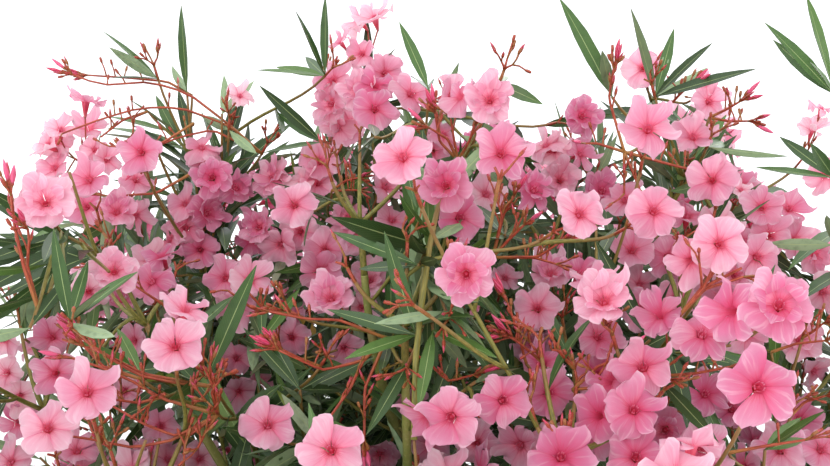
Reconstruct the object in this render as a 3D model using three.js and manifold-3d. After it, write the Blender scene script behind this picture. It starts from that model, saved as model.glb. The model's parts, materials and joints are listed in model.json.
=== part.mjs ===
// A pink-flowered oleander bush in a plain clay pot, in millimetres, +Z up.
// The origin is the middle of the pot's flat underside, and the bush is looked at along +Y.
// Seven canes rise from one root crown in the soil. Each cane forks into boughs, and each bough
// carries a mass of shoots, with lance-shaped leaves in threes and five-petalled trumpets.
import * as THREE from "three";
import { mergeVertices } from "three/addons/utils/BufferGeometryUtils.js";
import Module from "manifold-3d";

const wasm = await Module();
wasm.setup();

// The clay pot and its soil
const POT_HEIGHT = 380;
const POT_FOOT_RADIUS = 150;
const POT_RIM_RADIUS = 215;
const POT_WALL = 15;
const POT_FLOOR = 22;
const COLLAR_HEIGHT = 60;
const COLLAR_STEP = 11;
const POT_EDGE = 5;
const POT_SIDES = 32;
const DRAIN_COUNT = 3;
const DRAIN_RADIUS = 9;
const DRAIN_CIRCLE = 75;
const DRAIN_SIDES = 12;
const SOIL_DROP = 42;
const SOIL_CROWN = 10;
const SOIL_FLAT_RADIUS = 105;
const SOIL_TOP = POT_HEIGHT - SOIL_DROP;

// The crown: an egg of masses round the plant's axis, in four rings from the top down
const CROWN_REACH = 660;
const CROWN_TOP = 1540;
const CROWN_MIDDLE = 1030;
const MASS_HALF = 170;
const RINGS = [
  { name: "top", count: 3, latitude: 68, turn: 0, flowers: 2 },
  { name: "shoulder", count: 7, latitude: 39, turn: 270, flowers: 2 },
  { name: "waist", count: 7, latitude: 5, turn: 244, flowers: 1 },
  { name: "skirt", count: 7, latitude: -38, turn: 270, flowers: 0 },
];
const RING_UNEVEN = { turn: 9, rise: 45 };
const MASS_LIFT = 0.35;
const MASS_FOOT = 0.85;

// The canes: a leader in the middle, and a ring of leaning ones
const CANE_COUNT = 6;
const CANE_CIRCLE = 68;
const CANE_BASE_RADIUS = 14;
const CANE_TIP_RADIUS = 9.5;
const CANE_FLARE = 1.7;
const FLARE_HEIGHT = 40;
const FLARE_HALFWAY = 0.3;
const CANE_LEAN = 29;
const CANE_FORK = { reach: 150, height: 650 };
const LEADER_FORK = { reach: 12, height: 930 };
const CANE_UNEVEN = { turn: 6, rise: 30, lean: 25 };
const CANE_SIDES = 7;
const CANE_STEPS = 4;

// The knuckle at a cane's fork: [knuckle radii below its tip, share of its radius]
const KNUCKLE_RADIUS = 15;
const KNUCKLE_RINGS = [
  [1.3, 0.95],
  [0.6, 0.9],
  [0, 0.35],
];
const SEAT_SHARE = 0.8;

// The boughs
const BOUGH_BASE_RADIUS = 6.6;
const BOUGH_TIP_RADIUS = 4.6;
const BOUGH_TILT = 50;
const BOUGH_SIDES = 5;
const BOUGH_STEPS = 4;

// A mass: its stem and its shoots
const STEM_LENGTH = 60;
const STEM_SIDES = 5;
const SHOOT_COUNT = 4;
const SHOOT_LENGTH = 160;
const SHOOT_TILT = 50;
const LEADING_TILT = 8;
const SHOOT_LIFT = 0.16;
const SHOOT_UNEVEN = { tilt: 7, length: 0.18 };
const SHOOT_BASE_RADIUS = 4;
const SHOOT_TIP_RADIUS = 2.6;

// The leaves
const LEAF_LENGTH = 170;
const LEAF_WIDTH = 36;
const LEAF_THICKNESS = 5;
const LEAF_WIDEST = 0.46;
const LEAF_ARCH = 0.07;
const LEAF_TILT = 50;
const LEAF_UNEVEN = { tilt: 10, turn: 40 };
const WHORL_AT = [0.2, 0.5, 0.8];
const WHORL_COUNT = 3;

// The trumpets
const PETAL_COUNT = 5;
const FLOWER_RADIUS = 40;
const FLOWER_NOTCH = 0.7;
const FLOWER_DEPTH = 42;
const FLOWER_THROAT = 26;
const FLOWER_TILT = 50;
const LONE_FLOWER_TILT = 15;
const FLOWER_STEP = 9;

// Room between pieces
const SEAT_GAP = 0.3;
const SOIL_GAP = 0.6;
const SPACE_MARGIN = 2;
const LIMB_MARGIN = 4;
const OWN_BOUGH = 20;
const CROSSING_MOST = 0.5;
const TWIG_TEST_STEP = 8;

// The seeded draws by number, where leafTilt is the first of a run, one for each leaf of a shoot
const SEED = 954;
const HASH_WEIGHTS = [12.9898, 78.233, 37.719];
const HASH_SCALE = 43758.5453;
const DRAW = {
  massTurn: 1,
  massRise: 2,
  caneTurn: 11,
  caneRise: 12,
  caneLean: 13,
  shootTilt: 4,
  shootTurn: 5,
  shootLength: 6,
  leafTurn: 7,
  flowerTurn: 8,
  petalTurn: 9,
  leafTilt: 10,
};

const FRAME_STEPS = 60;
const UP = new THREE.Vector3(0, 0, 1);
const RADIANS = Math.PI / 180;

/** A repeatable number from 0 to 1 for two whole numbers and a draw. */
function chance(first, second, draw) {
  const mix = first * HASH_WEIGHTS[0] + second * HASH_WEIGHTS[1] + draw * HASH_WEIGHTS[2];
  const wave = Math.sin(mix + SEED) * HASH_SCALE;
  return wave - Math.floor(wave);
}

/** The same, from -1 to 1. */
function sway(first, second, draw) {
  return 2 * chance(first, second, draw) - 1;
}

/** The point at an angle in degrees round the plant's axis, counted from +X towards +Y. */
function around(degrees, reach, height) {
  const angle = degrees * RADIANS;
  return new THREE.Vector3(reach * Math.cos(angle), reach * Math.sin(angle), height);
}

/** A heading that leans from an axis by a tilt, at a turn round that axis, both in degrees. */
function leaning(axis, tilt, turn) {
  const side = new THREE.Vector3().crossVectors(UP, axis);
  if (side.lengthSq() < 1e-6) side.set(1, 0, 0);
  side.normalize().applyAxisAngle(axis, turn * RADIANS);
  return axis.clone().applyAxisAngle(side, tilt * RADIANS).normalize();
}

/** A closed geometry as a solid that can be cut and joined. */
function solidOf(geometry) {
  const bare = geometry.clone();
  bare.deleteAttribute("normal");
  bare.deleteAttribute("uv");
  const merged = mergeVertices(bare, 1e-3);
  const vertProperties = merged.attributes.position.array;
  const triVerts = new Uint32Array(merged.index.array);
  return new wasm.Manifold(new wasm.Mesh({ numProp: 3, vertProperties, triVerts }));
}

/** A solid back as a geometry. */
function geometryOf(solid) {
  const mesh = solid.getMesh();
  const geometry = new THREE.BufferGeometry();
  geometry.setAttribute("position", new THREE.BufferAttribute(mesh.vertProperties, 3));
  geometry.setIndex(new THREE.BufferAttribute(mesh.triVerts, 1));
  geometry.computeVertexNormals();
  return geometry;
}

/** A turned solid from [radius, height] corners that start and end on the axis. */
function turnedGeometry(profile) {
  const points = profile.map(([radius, height]) => new THREE.Vector2(radius, height));
  return new THREE.LatheGeometry(points, POT_SIDES).rotateX(Math.PI / 2);
}

/** A round limb along a curve, with a ring of corners for each [millimetres along it, radius]. */
function limbGeometry(curve, rings, sides) {
  const geometry = new THREE.CylinderGeometry(1, 1, 1, sides, rings.length - 1);
  const length = curve.getLength();
  const frames = curve.computeFrenetFrames(FRAME_STEPS);
  const points = geometry.attributes.position;
  for (let i = 0; i < points.count; i++) {
    const [along, radius] = rings[Math.round((points.getY(i) + 0.5) * (rings.length - 1))];
    const share = Math.min(along / length, 1);
    const frame = Math.round(share * FRAME_STEPS);
    const point = curve.getPointAt(share);
    point.addScaledVector(frames.normals[frame], points.getX(i) * radius);
    point.addScaledVector(frames.binormals[frame], -points.getZ(i) * radius);
    points.setXYZ(i, point.x, point.y, point.z);
  }
  return geometry;
}

/** Rings at even steps between two places on a limb, whose radius falls evenly. */
function taper(from, to, base, tip, steps) {
  return Array.from({ length: steps + 1 }, (_, i) => {
    const share = i / steps;
    return [from + (to - from) * share, base + (tip - base) * share];
  });
}

// The pot: from the middle of its underside, up the outside and down the inside, with drain holes.
function potGeometry() {
  const collarFoot = POT_HEIGHT - COLLAR_HEIGHT;
  const wallOut = POT_RIM_RADIUS - COLLAR_STEP;
  const wallIn = wallOut - POT_WALL;
  let pot = solidOf(
    turnedGeometry([
      [0, 0],
      [POT_FOOT_RADIUS - POT_EDGE, 0],
      [POT_FOOT_RADIUS, POT_EDGE],
      [wallOut, collarFoot - POT_EDGE],
      [POT_RIM_RADIUS - POT_EDGE / 2, collarFoot],
      [POT_RIM_RADIUS, collarFoot + POT_EDGE],
      [POT_RIM_RADIUS, POT_HEIGHT - POT_EDGE],
      [POT_RIM_RADIUS - POT_EDGE, POT_HEIGHT],
      [wallIn + POT_EDGE, POT_HEIGHT],
      [wallIn, POT_HEIGHT - POT_EDGE],
      [POT_FOOT_RADIUS - POT_WALL, POT_FLOOR],
      [0, POT_FLOOR],
    ]),
  );
  for (let i = 0; i < DRAIN_COUNT; i++) {
    const drill = new THREE.CylinderGeometry(DRAIN_RADIUS, DRAIN_RADIUS, 3 * POT_FLOOR, DRAIN_SIDES);
    const at = around((360 / DRAIN_COUNT) * i + 90, DRAIN_CIRCLE, 0);
    drill.rotateX(Math.PI / 2).translate(at.x, at.y, at.z);
    pot = pot.subtract(solidOf(drill));
  }
  return geometryOf(pot);
}

/** The radius of the pot's inside at a height. */
function potInside(height) {
  const top = POT_RIM_RADIUS - COLLAR_STEP - POT_WALL;
  const foot = POT_FOOT_RADIUS - POT_WALL;
  const share = (height - POT_FLOOR) / (POT_HEIGHT - POT_EDGE - POT_FLOOR);
  return foot + (top - foot) * share;
}

// The soil fills the pot: flat where the canes stand, and lower at the pot's wall.
function soilGeometry() {
  const foot = POT_FLOOR + SEAT_GAP;
  const edge = SOIL_TOP - SOIL_CROWN;
  return turnedGeometry([
    [0, foot],
    [potInside(foot) - SOIL_GAP, foot],
    [potInside(edge) - SOIL_GAP, edge],
    [SOIL_FLAT_RADIUS, SOIL_TOP],
    [0, SOIL_TOP],
  ]);
}

/** The masses, ring by ring, with their middles on an egg that lies inside the crown. */
function placeMasses() {
  const reach = CROWN_REACH - MASS_HALF;
  const rise = CROWN_TOP - CROWN_MIDDLE - MASS_HALF;
  const root = new THREE.Vector3(0, 0, CROWN_MIDDLE - rise);
  return RINGS.flatMap(({ name, count, latitude, turn }, ring) =>
    Array.from({ length: count }, (_, i) => {
      const angle = turn + (360 / count) * i + RING_UNEVEN.turn * sway(ring, i, DRAW.massTurn);
      const height = CROWN_MIDDLE + rise * Math.sin(latitude * RADIANS);
      const uneven = RING_UNEVEN.rise * sway(ring, i, DRAW.massRise);
      const middle = around(angle, reach * Math.cos(latitude * RADIANS), height + uneven);
      const outward = middle.clone().sub(root).normalize();
      const heading = outward.addScaledVector(UP, MASS_LIFT).normalize();
      const foot = middle.clone().addScaledVector(heading, -MASS_FOOT * MASS_HALF);
      return { name: `${name}_${i + 1}`, ring, number: ring * 10 + i, angle, middle, heading, foot };
    }),
  );
}

/** The canes, each a curve that rises straight from the soil and leans out to its fork. */
function placeCanes() {
  return Array.from({ length: CANE_COUNT + 1 }, (_, i) => {
    const leader = i === CANE_COUNT;
    const angle = (360 / CANE_COUNT) * i + CANE_UNEVEN.turn * sway(i, 0, DRAW.caneTurn);
    const lean = (leader ? 0 : CANE_LEAN) * RADIANS;
    const { reach, height } = leader ? LEADER_FORK : CANE_FORK;
    const base = around(angle, leader ? 0 : CANE_CIRCLE, SOIL_TOP + SEAT_GAP);
    const fork = around(angle, reach, height + CANE_UNEVEN.rise * sway(i, 0, DRAW.caneRise));
    const leanTurn = angle + CANE_UNEVEN.lean * sway(i, 0, DRAW.caneLean);
    const heading = around(leanTurn, Math.sin(lean), Math.cos(lean));
    const tip = fork.clone().addScaledVector(heading, KNUCKLE_RADIUS);
    const pull = base.distanceTo(fork) / 3;
    const rising = base.clone().addScaledVector(UP, pull);
    const arriving = tip.clone().addScaledVector(heading, -pull);
    const curve = new THREE.CubicBezierCurve3(base, rising, arriving, tip);
    return { name: `cane_${i + 1}`, angle, leader, fork, curve, heading };
  });
}

/** The boughs of one cane leave its fork in a whorl, as near as they can to the way that they go. */
function placeBoughs(cane, masses) {
  const front = leaning(cane.heading, 90, 0);
  const side = new THREE.Vector3().crossVectors(cane.heading, front);
  const turnOf = (mass) => {
    const way = mass.foot.clone().sub(cane.fork);
    return Math.atan2(way.dot(side), way.dot(front));
  };
  const sorted = [...masses].sort((one, other) => turnOf(one) - turnOf(other));
  const step = (2 * Math.PI) / sorted.length;
  const off = sorted.map((mass, i) => turnOf(mass) - i * step);
  const sines = off.reduce((sum, angle) => sum + Math.sin(angle), 0);
  const cosines = off.reduce((sum, angle) => sum + Math.cos(angle), 0);
  const first = Math.atan2(sines, cosines);
  return sorted.map((mass, i) => {
    const outward = front.clone().applyAxisAngle(cane.heading, first + i * step);
    const heading = cane.heading.clone().multiplyScalar(Math.cos(BOUGH_TILT * RADIANS));
    heading.addScaledVector(outward, Math.sin(BOUGH_TILT * RADIANS));
    const start = cane.fork.clone().addScaledVector(heading, KNUCKLE_RADIUS * SEAT_SHARE + SEAT_GAP);
    const pull = start.distanceTo(mass.foot) / 3;
    const leaving = start.clone().addScaledVector(heading, pull);
    const arriving = mass.foot.clone().addScaledVector(mass.heading, -pull);
    const curve = new THREE.CubicBezierCurve3(start, leaving, arriving, mass.foot);
    return { name: `bough_${mass.name}`, curve, heading };
  });
}

/** A cane flares at the soil, tapers to its fork, and ends in a knuckle with a flat seat for each bough. */
function caneGeometry(cane) {
  const length = cane.curve.getLength();
  const neck = length - 2 * KNUCKLE_RADIUS;
  const halfway = 1 + (CANE_FLARE - 1) * FLARE_HALFWAY;
  const rings = [
    [0, CANE_BASE_RADIUS * CANE_FLARE],
    [FLARE_HEIGHT / 2, CANE_BASE_RADIUS * halfway],
    ...taper(FLARE_HEIGHT, neck, CANE_BASE_RADIUS, CANE_TIP_RADIUS, CANE_STEPS),
    ...KNUCKLE_RINGS.map(([below, share]) => [length - below * KNUCKLE_RADIUS, share * KNUCKLE_RADIUS]),
  ];
  let solid = solidOf(limbGeometry(cane.curve, rings, CANE_SIDES));
  for (const { heading } of cane.boughs) {
    const seat = cane.fork.dot(heading) + KNUCKLE_RADIUS * SEAT_SHARE;
    const inward = heading.clone().negate();
    solid = solid.trimByPlane([inward.x, inward.y, inward.z], -seat);
  }
  return geometryOf(solid);
}

function boughGeometry({ curve }) {
  const rings = taper(0, curve.getLength(), BOUGH_BASE_RADIUS, BOUGH_TIP_RADIUS, BOUGH_STEPS);
  return limbGeometry(curve, rings, BOUGH_SIDES);
}

/** A straight twig between two points. */
function twigGeometry(from, to, base, tip, sides = 3) {
  const rings = taper(0, from.distanceTo(to), base, tip, 1);
  return limbGeometry(new THREE.LineCurve3(from, to), rings, sides);
}

const masses = placeMasses();
const canes = placeCanes();

// Each mass hangs on the cane that it leans with, and the top ring on the leader.
for (const mass of masses) {
  const turnTo = (cane) => Math.abs(((mass.angle - cane.angle + 540) % 360) - 180);
  const ring = canes.filter((cane) => !cane.leader).sort((one, other) => turnTo(one) - turnTo(other));
  mass.cane = mass.ring === 0 ? canes.find((cane) => cane.leader) : ring[0];
}
for (const cane of canes) {
  cane.boughs = placeBoughs(cane, masses.filter((mass) => mass.cane === cane));
}

/** A limb as a string of balls, for keeping leaves and shoots off it. */
function ballsAlong(curve, radius) {
  const count = Math.ceil(curve.getLength() / radius);
  return curve.getSpacedPoints(count).map((point) => ({ point, radius }));
}

const limbBalls = canes.flatMap((cane) => [
  ...ballsAlong(cane.curve, CANE_BASE_RADIUS),
  ...cane.boughs.flatMap((bough) => ballsAlong(bough.curve, BOUGH_BASE_RADIUS)),
]);

/** How far a point lies inside a mass's own space, which ends halfway to each other mass. */
function roomAt(point, mass) {
  const others = masses.filter((other) => other !== mass);
  const rooms = others.map((other) => {
    const apart = mass.middle.clone().sub(other.middle);
    const halfway = mass.middle.clone().lerp(other.middle, 0.5);
    return point.clone().sub(halfway).dot(apart) / apart.length();
  });
  return Math.min(...rooms);
}

/** Whether a ball of this radius stays in the mass's space, inside the crown and clear of the limbs. */
function fits(point, radius, mass) {
  if (roomAt(point, mass) < radius + SPACE_MARGIN) return false;
  if (point.z > CROWN_TOP) return false;
  if (Math.hypot(point.x, point.y) > CROWN_REACH) return false;
  return limbBalls.every((ball) => {
    const clear = ball.point.distanceTo(point) > ball.radius + radius + LIMB_MARGIN;
    return clear || ball.point.distanceTo(mass.foot) < OWN_BOUGH;
  });
}

/** Whether a straight twig fits along its whole length. */
function twigFits(from, to, radius, mass) {
  const count = Math.ceil(from.distanceTo(to) / TWIG_TEST_STEP);
  const shares = Array.from({ length: count }, (_, i) => (i + 1) / count);
  return shares.every((share) => fits(from.clone().lerp(to, share), radius, mass));
}

/** Whether each corner of a geometry, and the middle of each of its edges, fits. */
function geometryFits(geometry, mass) {
  const points = geometry.attributes.position;
  const order = [...geometry.index.array];
  const corners = order.map((corner) => new THREE.Vector3().fromBufferAttribute(points, corner));
  return corners.every((corner, i) => {
    const next = corners[i % 3 === 2 ? i - 2 : i + 1];
    return fits(corner, 0, mass) && fits(corner.clone().lerp(next, 0.5), 0, mass);
  });
}

/** A lance-shaped leaf of six faces, keeled under its middle and arched along its length. */
function leafGeometry(root, heading, face) {
  const across = new THREE.Vector3().crossVectors(face, heading).normalize();
  const upper = new THREE.Vector3().crossVectors(heading, across);
  const leaf = new THREE.SphereGeometry(1, 3, 2);
  const points = leaf.attributes.position;
  for (let i = 0; i < points.count; i++) {
    const end = Math.round(points.getY(i));
    const waist = end === 0 ? 1 : 0;
    const corner = Math.atan2(points.getZ(i), points.getX(i));
    const share = waist ? LEAF_WIDEST : (end + 1) / 2;
    const out = (-Math.sin(corner) * LEAF_WIDTH) / Math.sqrt(3);
    const height = LEAF_ARCH * LEAF_LENGTH - Math.cos(corner) * LEAF_THICKNESS * (2 / 3);
    const point = root.clone().addScaledVector(heading, share * LEAF_LENGTH);
    point.addScaledVector(across, waist * out).addScaledVector(upper, waist * height);
    points.setXYZ(i, point.x, point.y, point.z);
  }
  return leaf;
}

/** A trumpet with five petals: a funnel that rises from its root to a rim of tips and notches. */
function flowerGeometry(root, heading, turn) {
  const corners = 2 * PETAL_COUNT;
  const flower = new THREE.SphereGeometry(1, corners, 2);
  const side = leaning(heading, 90, turn);
  const front = new THREE.Vector3().crossVectors(heading, side);
  const points = flower.attributes.position;
  for (let i = 0; i < points.count; i++) {
    const pole = Math.round(points.getY(i));
    const angle = Math.atan2(points.getZ(i), points.getX(i));
    const notch = Math.round((angle * PETAL_COUNT) / Math.PI) % 2 !== 0;
    const rim = FLOWER_RADIUS * (notch ? FLOWER_NOTCH : 1);
    const radius = pole === 0 ? rim : 0;
    const height = [0, FLOWER_DEPTH, FLOWER_THROAT][pole + 1];
    const point = root.clone().addScaledVector(heading, height);
    point.addScaledVector(side, -radius * Math.cos(angle));
    point.addScaledVector(front, radius * Math.sin(angle));
    points.setXYZ(i, point.x, point.y, point.z);
  }
  return flower;
}

/** The shoots of one mass fork from its stem, one nearly straight on and the others round it. */
function placeShoots(mass) {
  const fork = mass.foot.clone().addScaledVector(mass.heading, STEM_LENGTH);
  return Array.from({ length: SHOOT_COUNT }, (_, i) => {
    const evenTilt = i === 0 ? LEADING_TILT : SHOOT_TILT;
    const tilt = evenTilt + SHOOT_UNEVEN.tilt * sway(mass.number, i, DRAW.shootTilt);
    const turn = (360 / (SHOOT_COUNT - 1)) * i + 360 * chance(mass.number, 0, DRAW.shootTurn);
    const length = SHOOT_LENGTH * (1 + SHOOT_UNEVEN.length * sway(mass.number, i, DRAW.shootLength));
    const straight = leaning(mass.heading, tilt, turn).multiplyScalar(length);
    const tip = fork.clone().add(straight).addScaledVector(UP, SHOOT_LIFT * length);
    const heading = tip.clone().sub(fork).normalize();
    return { mass, number: i, fork, tip, heading };
  });
}

/** The leaves of one shoot, in whorls that are turned half a step from each other. */
function leavesOf({ mass, number, fork, tip, heading }) {
  const step = 360 / WHORL_COUNT;
  return WHORL_AT.flatMap((share, whorl) =>
    Array.from({ length: WHORL_COUNT }, (_, i) => {
      const turn = step * (i + whorl / 2) + LEAF_UNEVEN.turn * chance(mass.number, number, DRAW.leafTurn);
      const uneven = sway(mass.number, number, DRAW.leafTilt + WHORL_COUNT * whorl + i);
      const leafHeading = leaning(heading, LEAF_TILT + LEAF_UNEVEN.tilt * uneven, turn);
      return leafGeometry(fork.clone().lerp(tip, share), leafHeading, heading);
    }),
  );
}

/** The trumpets of one shoot, round its tip. */
function flowersOf({ mass, number, tip, heading }) {
  const count = RINGS[mass.ring].flowers;
  return Array.from({ length: count }, (_, i) => {
    const turn = (360 / count) * i + 360 * chance(mass.number, number, DRAW.flowerTurn);
    const flowerHeading = leaning(heading, count === 1 ? LONE_FLOWER_TILT : FLOWER_TILT, turn);
    const root = tip.clone().addScaledVector(heading, -FLOWER_STEP * i);
    const petalTurn = (360 / PETAL_COUNT) * chance(mass.number, i, DRAW.petalTurn);
    return flowerGeometry(root, flowerHeading, petalTurn);
  });
}

/** One mass, fused: its stem, its shoots, and each flower and leaf that has room in its space. */
function massGeometry(mass) {
  const foot = mass.foot.clone().addScaledVector(mass.heading, SEAT_GAP);
  const shoots = placeShoots(mass).filter(({ fork, tip }) => twigFits(fork, tip, SHOOT_BASE_RADIUS, mass));
  const stemTop = mass.foot.clone().addScaledVector(mass.heading, STEM_LENGTH + SHOOT_BASE_RADIUS);
  const stem = solidOf(twigGeometry(foot, stemTop, BOUGH_TIP_RADIUS, SHOOT_BASE_RADIUS, STEM_SIDES));
  const twigs = shoots.map(({ fork, tip, heading }) => {
    const end = tip.clone().addScaledVector(heading, SHOOT_TIP_RADIUS);
    return solidOf(twigGeometry(fork, end, SHOOT_BASE_RADIUS, SHOOT_TIP_RADIUS));
  });
  const blades = [];
  const grow = (geometry, ownTwig) => {
    if (!geometryFits(geometry, mass)) return;
    const solid = solidOf(geometry);
    const others = [stem, ...twigs.filter((twig) => twig !== ownTwig), ...blades];
    if (others.every((other) => other.intersect(solid).volume() < CROSSING_MOST)) blades.push(solid);
  };
  shoots.forEach((shoot, i) => flowersOf(shoot).forEach((flower) => grow(flower, twigs[i])));
  shoots.forEach((shoot, i) => leavesOf(shoot).forEach((leaf) => grow(leaf, twigs[i])));
  const pieces = wasm.Manifold.union([stem, ...twigs, ...blades]).decompose();
  pieces.sort((one, other) => other.volume() - one.volume());
  return geometryOf(pieces[0]);
}

const clay = new THREE.MeshStandardMaterial({ color: "#b3674a", roughness: 0.9, metalness: 0 });
const earth = new THREE.MeshStandardMaterial({ color: "#3a2a20", roughness: 1, metalness: 0 });
const bark = new THREE.MeshStandardMaterial({ color: "#7d7458", roughness: 0.8, metalness: 0 });
const greenBark = new THREE.MeshStandardMaterial({ color: "#7c8a3e", roughness: 0.7, metalness: 0 });
const leafGreen = new THREE.MeshStandardMaterial({ color: "#3f6a38", roughness: 0.5, metalness: 0 });
const petalPink = new THREE.MeshStandardMaterial({ color: "#f08fb0", roughness: 0.6, metalness: 0 });

function named(name, geometry, material) {
  const mesh = new THREE.Mesh(geometry, material);
  mesh.name = name;
  return mesh;
}

const pot = new THREE.Group();
pot.add(named("pot", potGeometry(), clay), named("soil", soilGeometry(), earth));

const limbs = new THREE.Group();
for (const cane of canes) {
  limbs.add(named(cane.name, caneGeometry(cane), bark));
  for (const bough of cane.boughs) limbs.add(named(bough.name, boughGeometry(bough), greenBark));
}

const crown = new THREE.Group();
for (const mass of masses) {
  const inFullBloom = RINGS[mass.ring].flowers > 1;
  crown.add(named(`mass_${mass.name}`, massGeometry(mass), inFullBloom ? petalPink : leafGreen));
}

const oleander = new THREE.Group();
oleander.add(pot, limbs, crown);

export default oleander;
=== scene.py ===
# %% [markdown]
# # A potted oleander in full bloom
#
# A pink oleander stands in a clay pot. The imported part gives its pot, its canes, its boughs and, for
# each mass of foliage, a coarse solid. This lesson keeps the limbs where they are, gives them bark, and
# grows each mass again by the part's own rule, with finer shoots, leaves, flower heads and buds.
#
# All sizes are in metres. Z is up, and the plant is looked at along +Y.

# %% Load the frame
import json
import math

import bpy
import mathutils
import numpy as np
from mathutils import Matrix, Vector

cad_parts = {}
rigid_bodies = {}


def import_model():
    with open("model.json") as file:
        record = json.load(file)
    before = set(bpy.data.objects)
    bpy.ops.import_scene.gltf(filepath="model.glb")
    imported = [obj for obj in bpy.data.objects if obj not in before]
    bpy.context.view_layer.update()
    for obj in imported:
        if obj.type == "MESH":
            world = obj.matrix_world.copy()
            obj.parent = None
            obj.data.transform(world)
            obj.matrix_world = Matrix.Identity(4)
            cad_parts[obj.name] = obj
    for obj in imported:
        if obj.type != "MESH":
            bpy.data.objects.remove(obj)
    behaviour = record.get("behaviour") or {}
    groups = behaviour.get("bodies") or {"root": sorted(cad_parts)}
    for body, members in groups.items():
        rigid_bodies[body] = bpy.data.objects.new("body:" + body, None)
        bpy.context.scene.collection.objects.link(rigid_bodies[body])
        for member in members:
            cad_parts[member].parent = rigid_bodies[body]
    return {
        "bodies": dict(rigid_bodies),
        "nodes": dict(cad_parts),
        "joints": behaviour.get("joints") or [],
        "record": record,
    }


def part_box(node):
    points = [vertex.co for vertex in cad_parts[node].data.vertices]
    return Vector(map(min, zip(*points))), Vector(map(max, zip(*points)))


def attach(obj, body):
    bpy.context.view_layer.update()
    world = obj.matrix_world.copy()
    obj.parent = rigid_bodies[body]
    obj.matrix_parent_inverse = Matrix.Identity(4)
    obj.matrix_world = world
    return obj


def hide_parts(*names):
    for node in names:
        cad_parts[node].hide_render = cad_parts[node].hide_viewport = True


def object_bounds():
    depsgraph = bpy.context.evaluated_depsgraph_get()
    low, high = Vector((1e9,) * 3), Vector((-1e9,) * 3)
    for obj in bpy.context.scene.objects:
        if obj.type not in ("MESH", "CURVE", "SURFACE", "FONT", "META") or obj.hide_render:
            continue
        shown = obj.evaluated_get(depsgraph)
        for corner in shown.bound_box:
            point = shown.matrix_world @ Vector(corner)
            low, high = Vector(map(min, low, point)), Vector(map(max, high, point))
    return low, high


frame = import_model()
CAD_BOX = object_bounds()
NODES = sorted(frame["nodes"])


def in_millimetres(corner):
    """A corner's coordinates in whole millimetres, for printing."""
    return [round(value * 1000) for value in corner]


print(len(NODES), "solids, in mm from", in_millimetres(CAD_BOX[0]), "to", in_millimetres(CAD_BOX[1]))

# %% [markdown]
# ## The rule that the plant grows by
#
# A plant looks grown when the same few habits repeat with small, uneven changes. The part's solids come
# from such a rule: 24 masses on an egg, seven canes, a bough to each mass, and shoots that fork from its
# stem. If the rule is written again here, with the same seeded draws, the finer shoots start exactly
# where the solids have theirs, so nothing has to be measured off a mesh.

# %% Seeded draws and turns
SEED = 954
HASH_WEIGHTS = (12.9898, 78.233, 37.719)
HASH_SCALE = 43758.5453
DRAW = {"mass_turn": 1, "mass_rise": 2, "shoot_tilt": 4, "shoot_turn": 5, "shoot_length": 6}
DRAW |= {"cane_turn": 11, "cane_rise": 12, "cane_lean": 13}
UP = np.array([0.0, 0.0, 1.0])


def chance(first, second, draw):
    """A repeatable number from 0 to 1 for two whole numbers and a draw."""
    mix = first * HASH_WEIGHTS[0] + second * HASH_WEIGHTS[1] + draw * HASH_WEIGHTS[2]
    wave = math.sin(mix + SEED) * HASH_SCALE
    return wave - math.floor(wave)


def sway(first, second, draw):
    """The same, from -1 to 1."""
    return 2 * chance(first, second, draw) - 1


def unit(vectors):
    """Vectors of length 1 along their last axis."""
    return vectors / np.linalg.norm(vectors, axis=-1, keepdims=True)


def around(degrees, reach, height):
    """The point at an angle round the plant's axis, counted from +X towards +Y."""
    angle = math.radians(degrees)
    return np.array([reach * math.cos(angle), reach * math.sin(angle), height])


def turned(vector, axis, degrees):
    """A vector turned about an axis of length 1."""
    angle = math.radians(degrees)
    along = axis * (axis @ vector) * (1 - math.cos(angle))
    return vector * math.cos(angle) + np.cross(axis, vector) * math.sin(angle) + along


def leaning(axis, tilt, turn):
    """A heading that leans from an axis by a tilt, at a turn round that axis."""
    side = np.cross(UP, axis)
    side = unit(side) if side @ side > 1e-6 else np.array([1.0, 0.0, 0.0])
    return unit(turned(axis, turned(side, axis, turn), tilt))


def bend(start, leaving, arriving, end, steps):
    """Points along a cubic curve, with the two pulls as places."""
    t = np.linspace(0, 1, steps + 1)[:, None]
    s = 1 - t
    return s**3 * start + 3 * s**2 * t * leaving + 3 * s * t**2 * arriving + t**3 * end


# %% The masses, canes and boughs, as the part places them
CROWN_REACH = 0.660
CROWN_TOP = 1.540
CROWN_MIDDLE = 1.030
MASS_HALF = 0.170
MASS_LIFT = 0.35
MASS_FOOT = 0.85
RINGS = [
    {"name": "top", "count": 3, "latitude": 68, "turn": 0},
    {"name": "shoulder", "count": 7, "latitude": 39, "turn": 270},
    {"name": "waist", "count": 7, "latitude": 5, "turn": 244},
    {"name": "skirt", "count": 7, "latitude": -38, "turn": 270},
]
RING_UNEVEN = {"turn": 9, "rise": 0.045}
CANE_COUNT = 6
CANE_CIRCLE = 0.068
CANE_LEAN = 29
CANE_FORK = {"reach": 0.150, "height": 0.650}
LEADER_FORK = {"reach": 0.012, "height": 0.930}
CANE_UNEVEN = {"turn": 6, "rise": 0.030, "lean": 25}
KNUCKLE_RADIUS = 0.015
SEAT_SHARE = 0.8
SEAT_GAP = 0.0003
BOUGH_TILT = 50
CANE_STEPS = 150
BOUGH_STEPS = 60
SOIL_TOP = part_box("soil")[1].z


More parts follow.
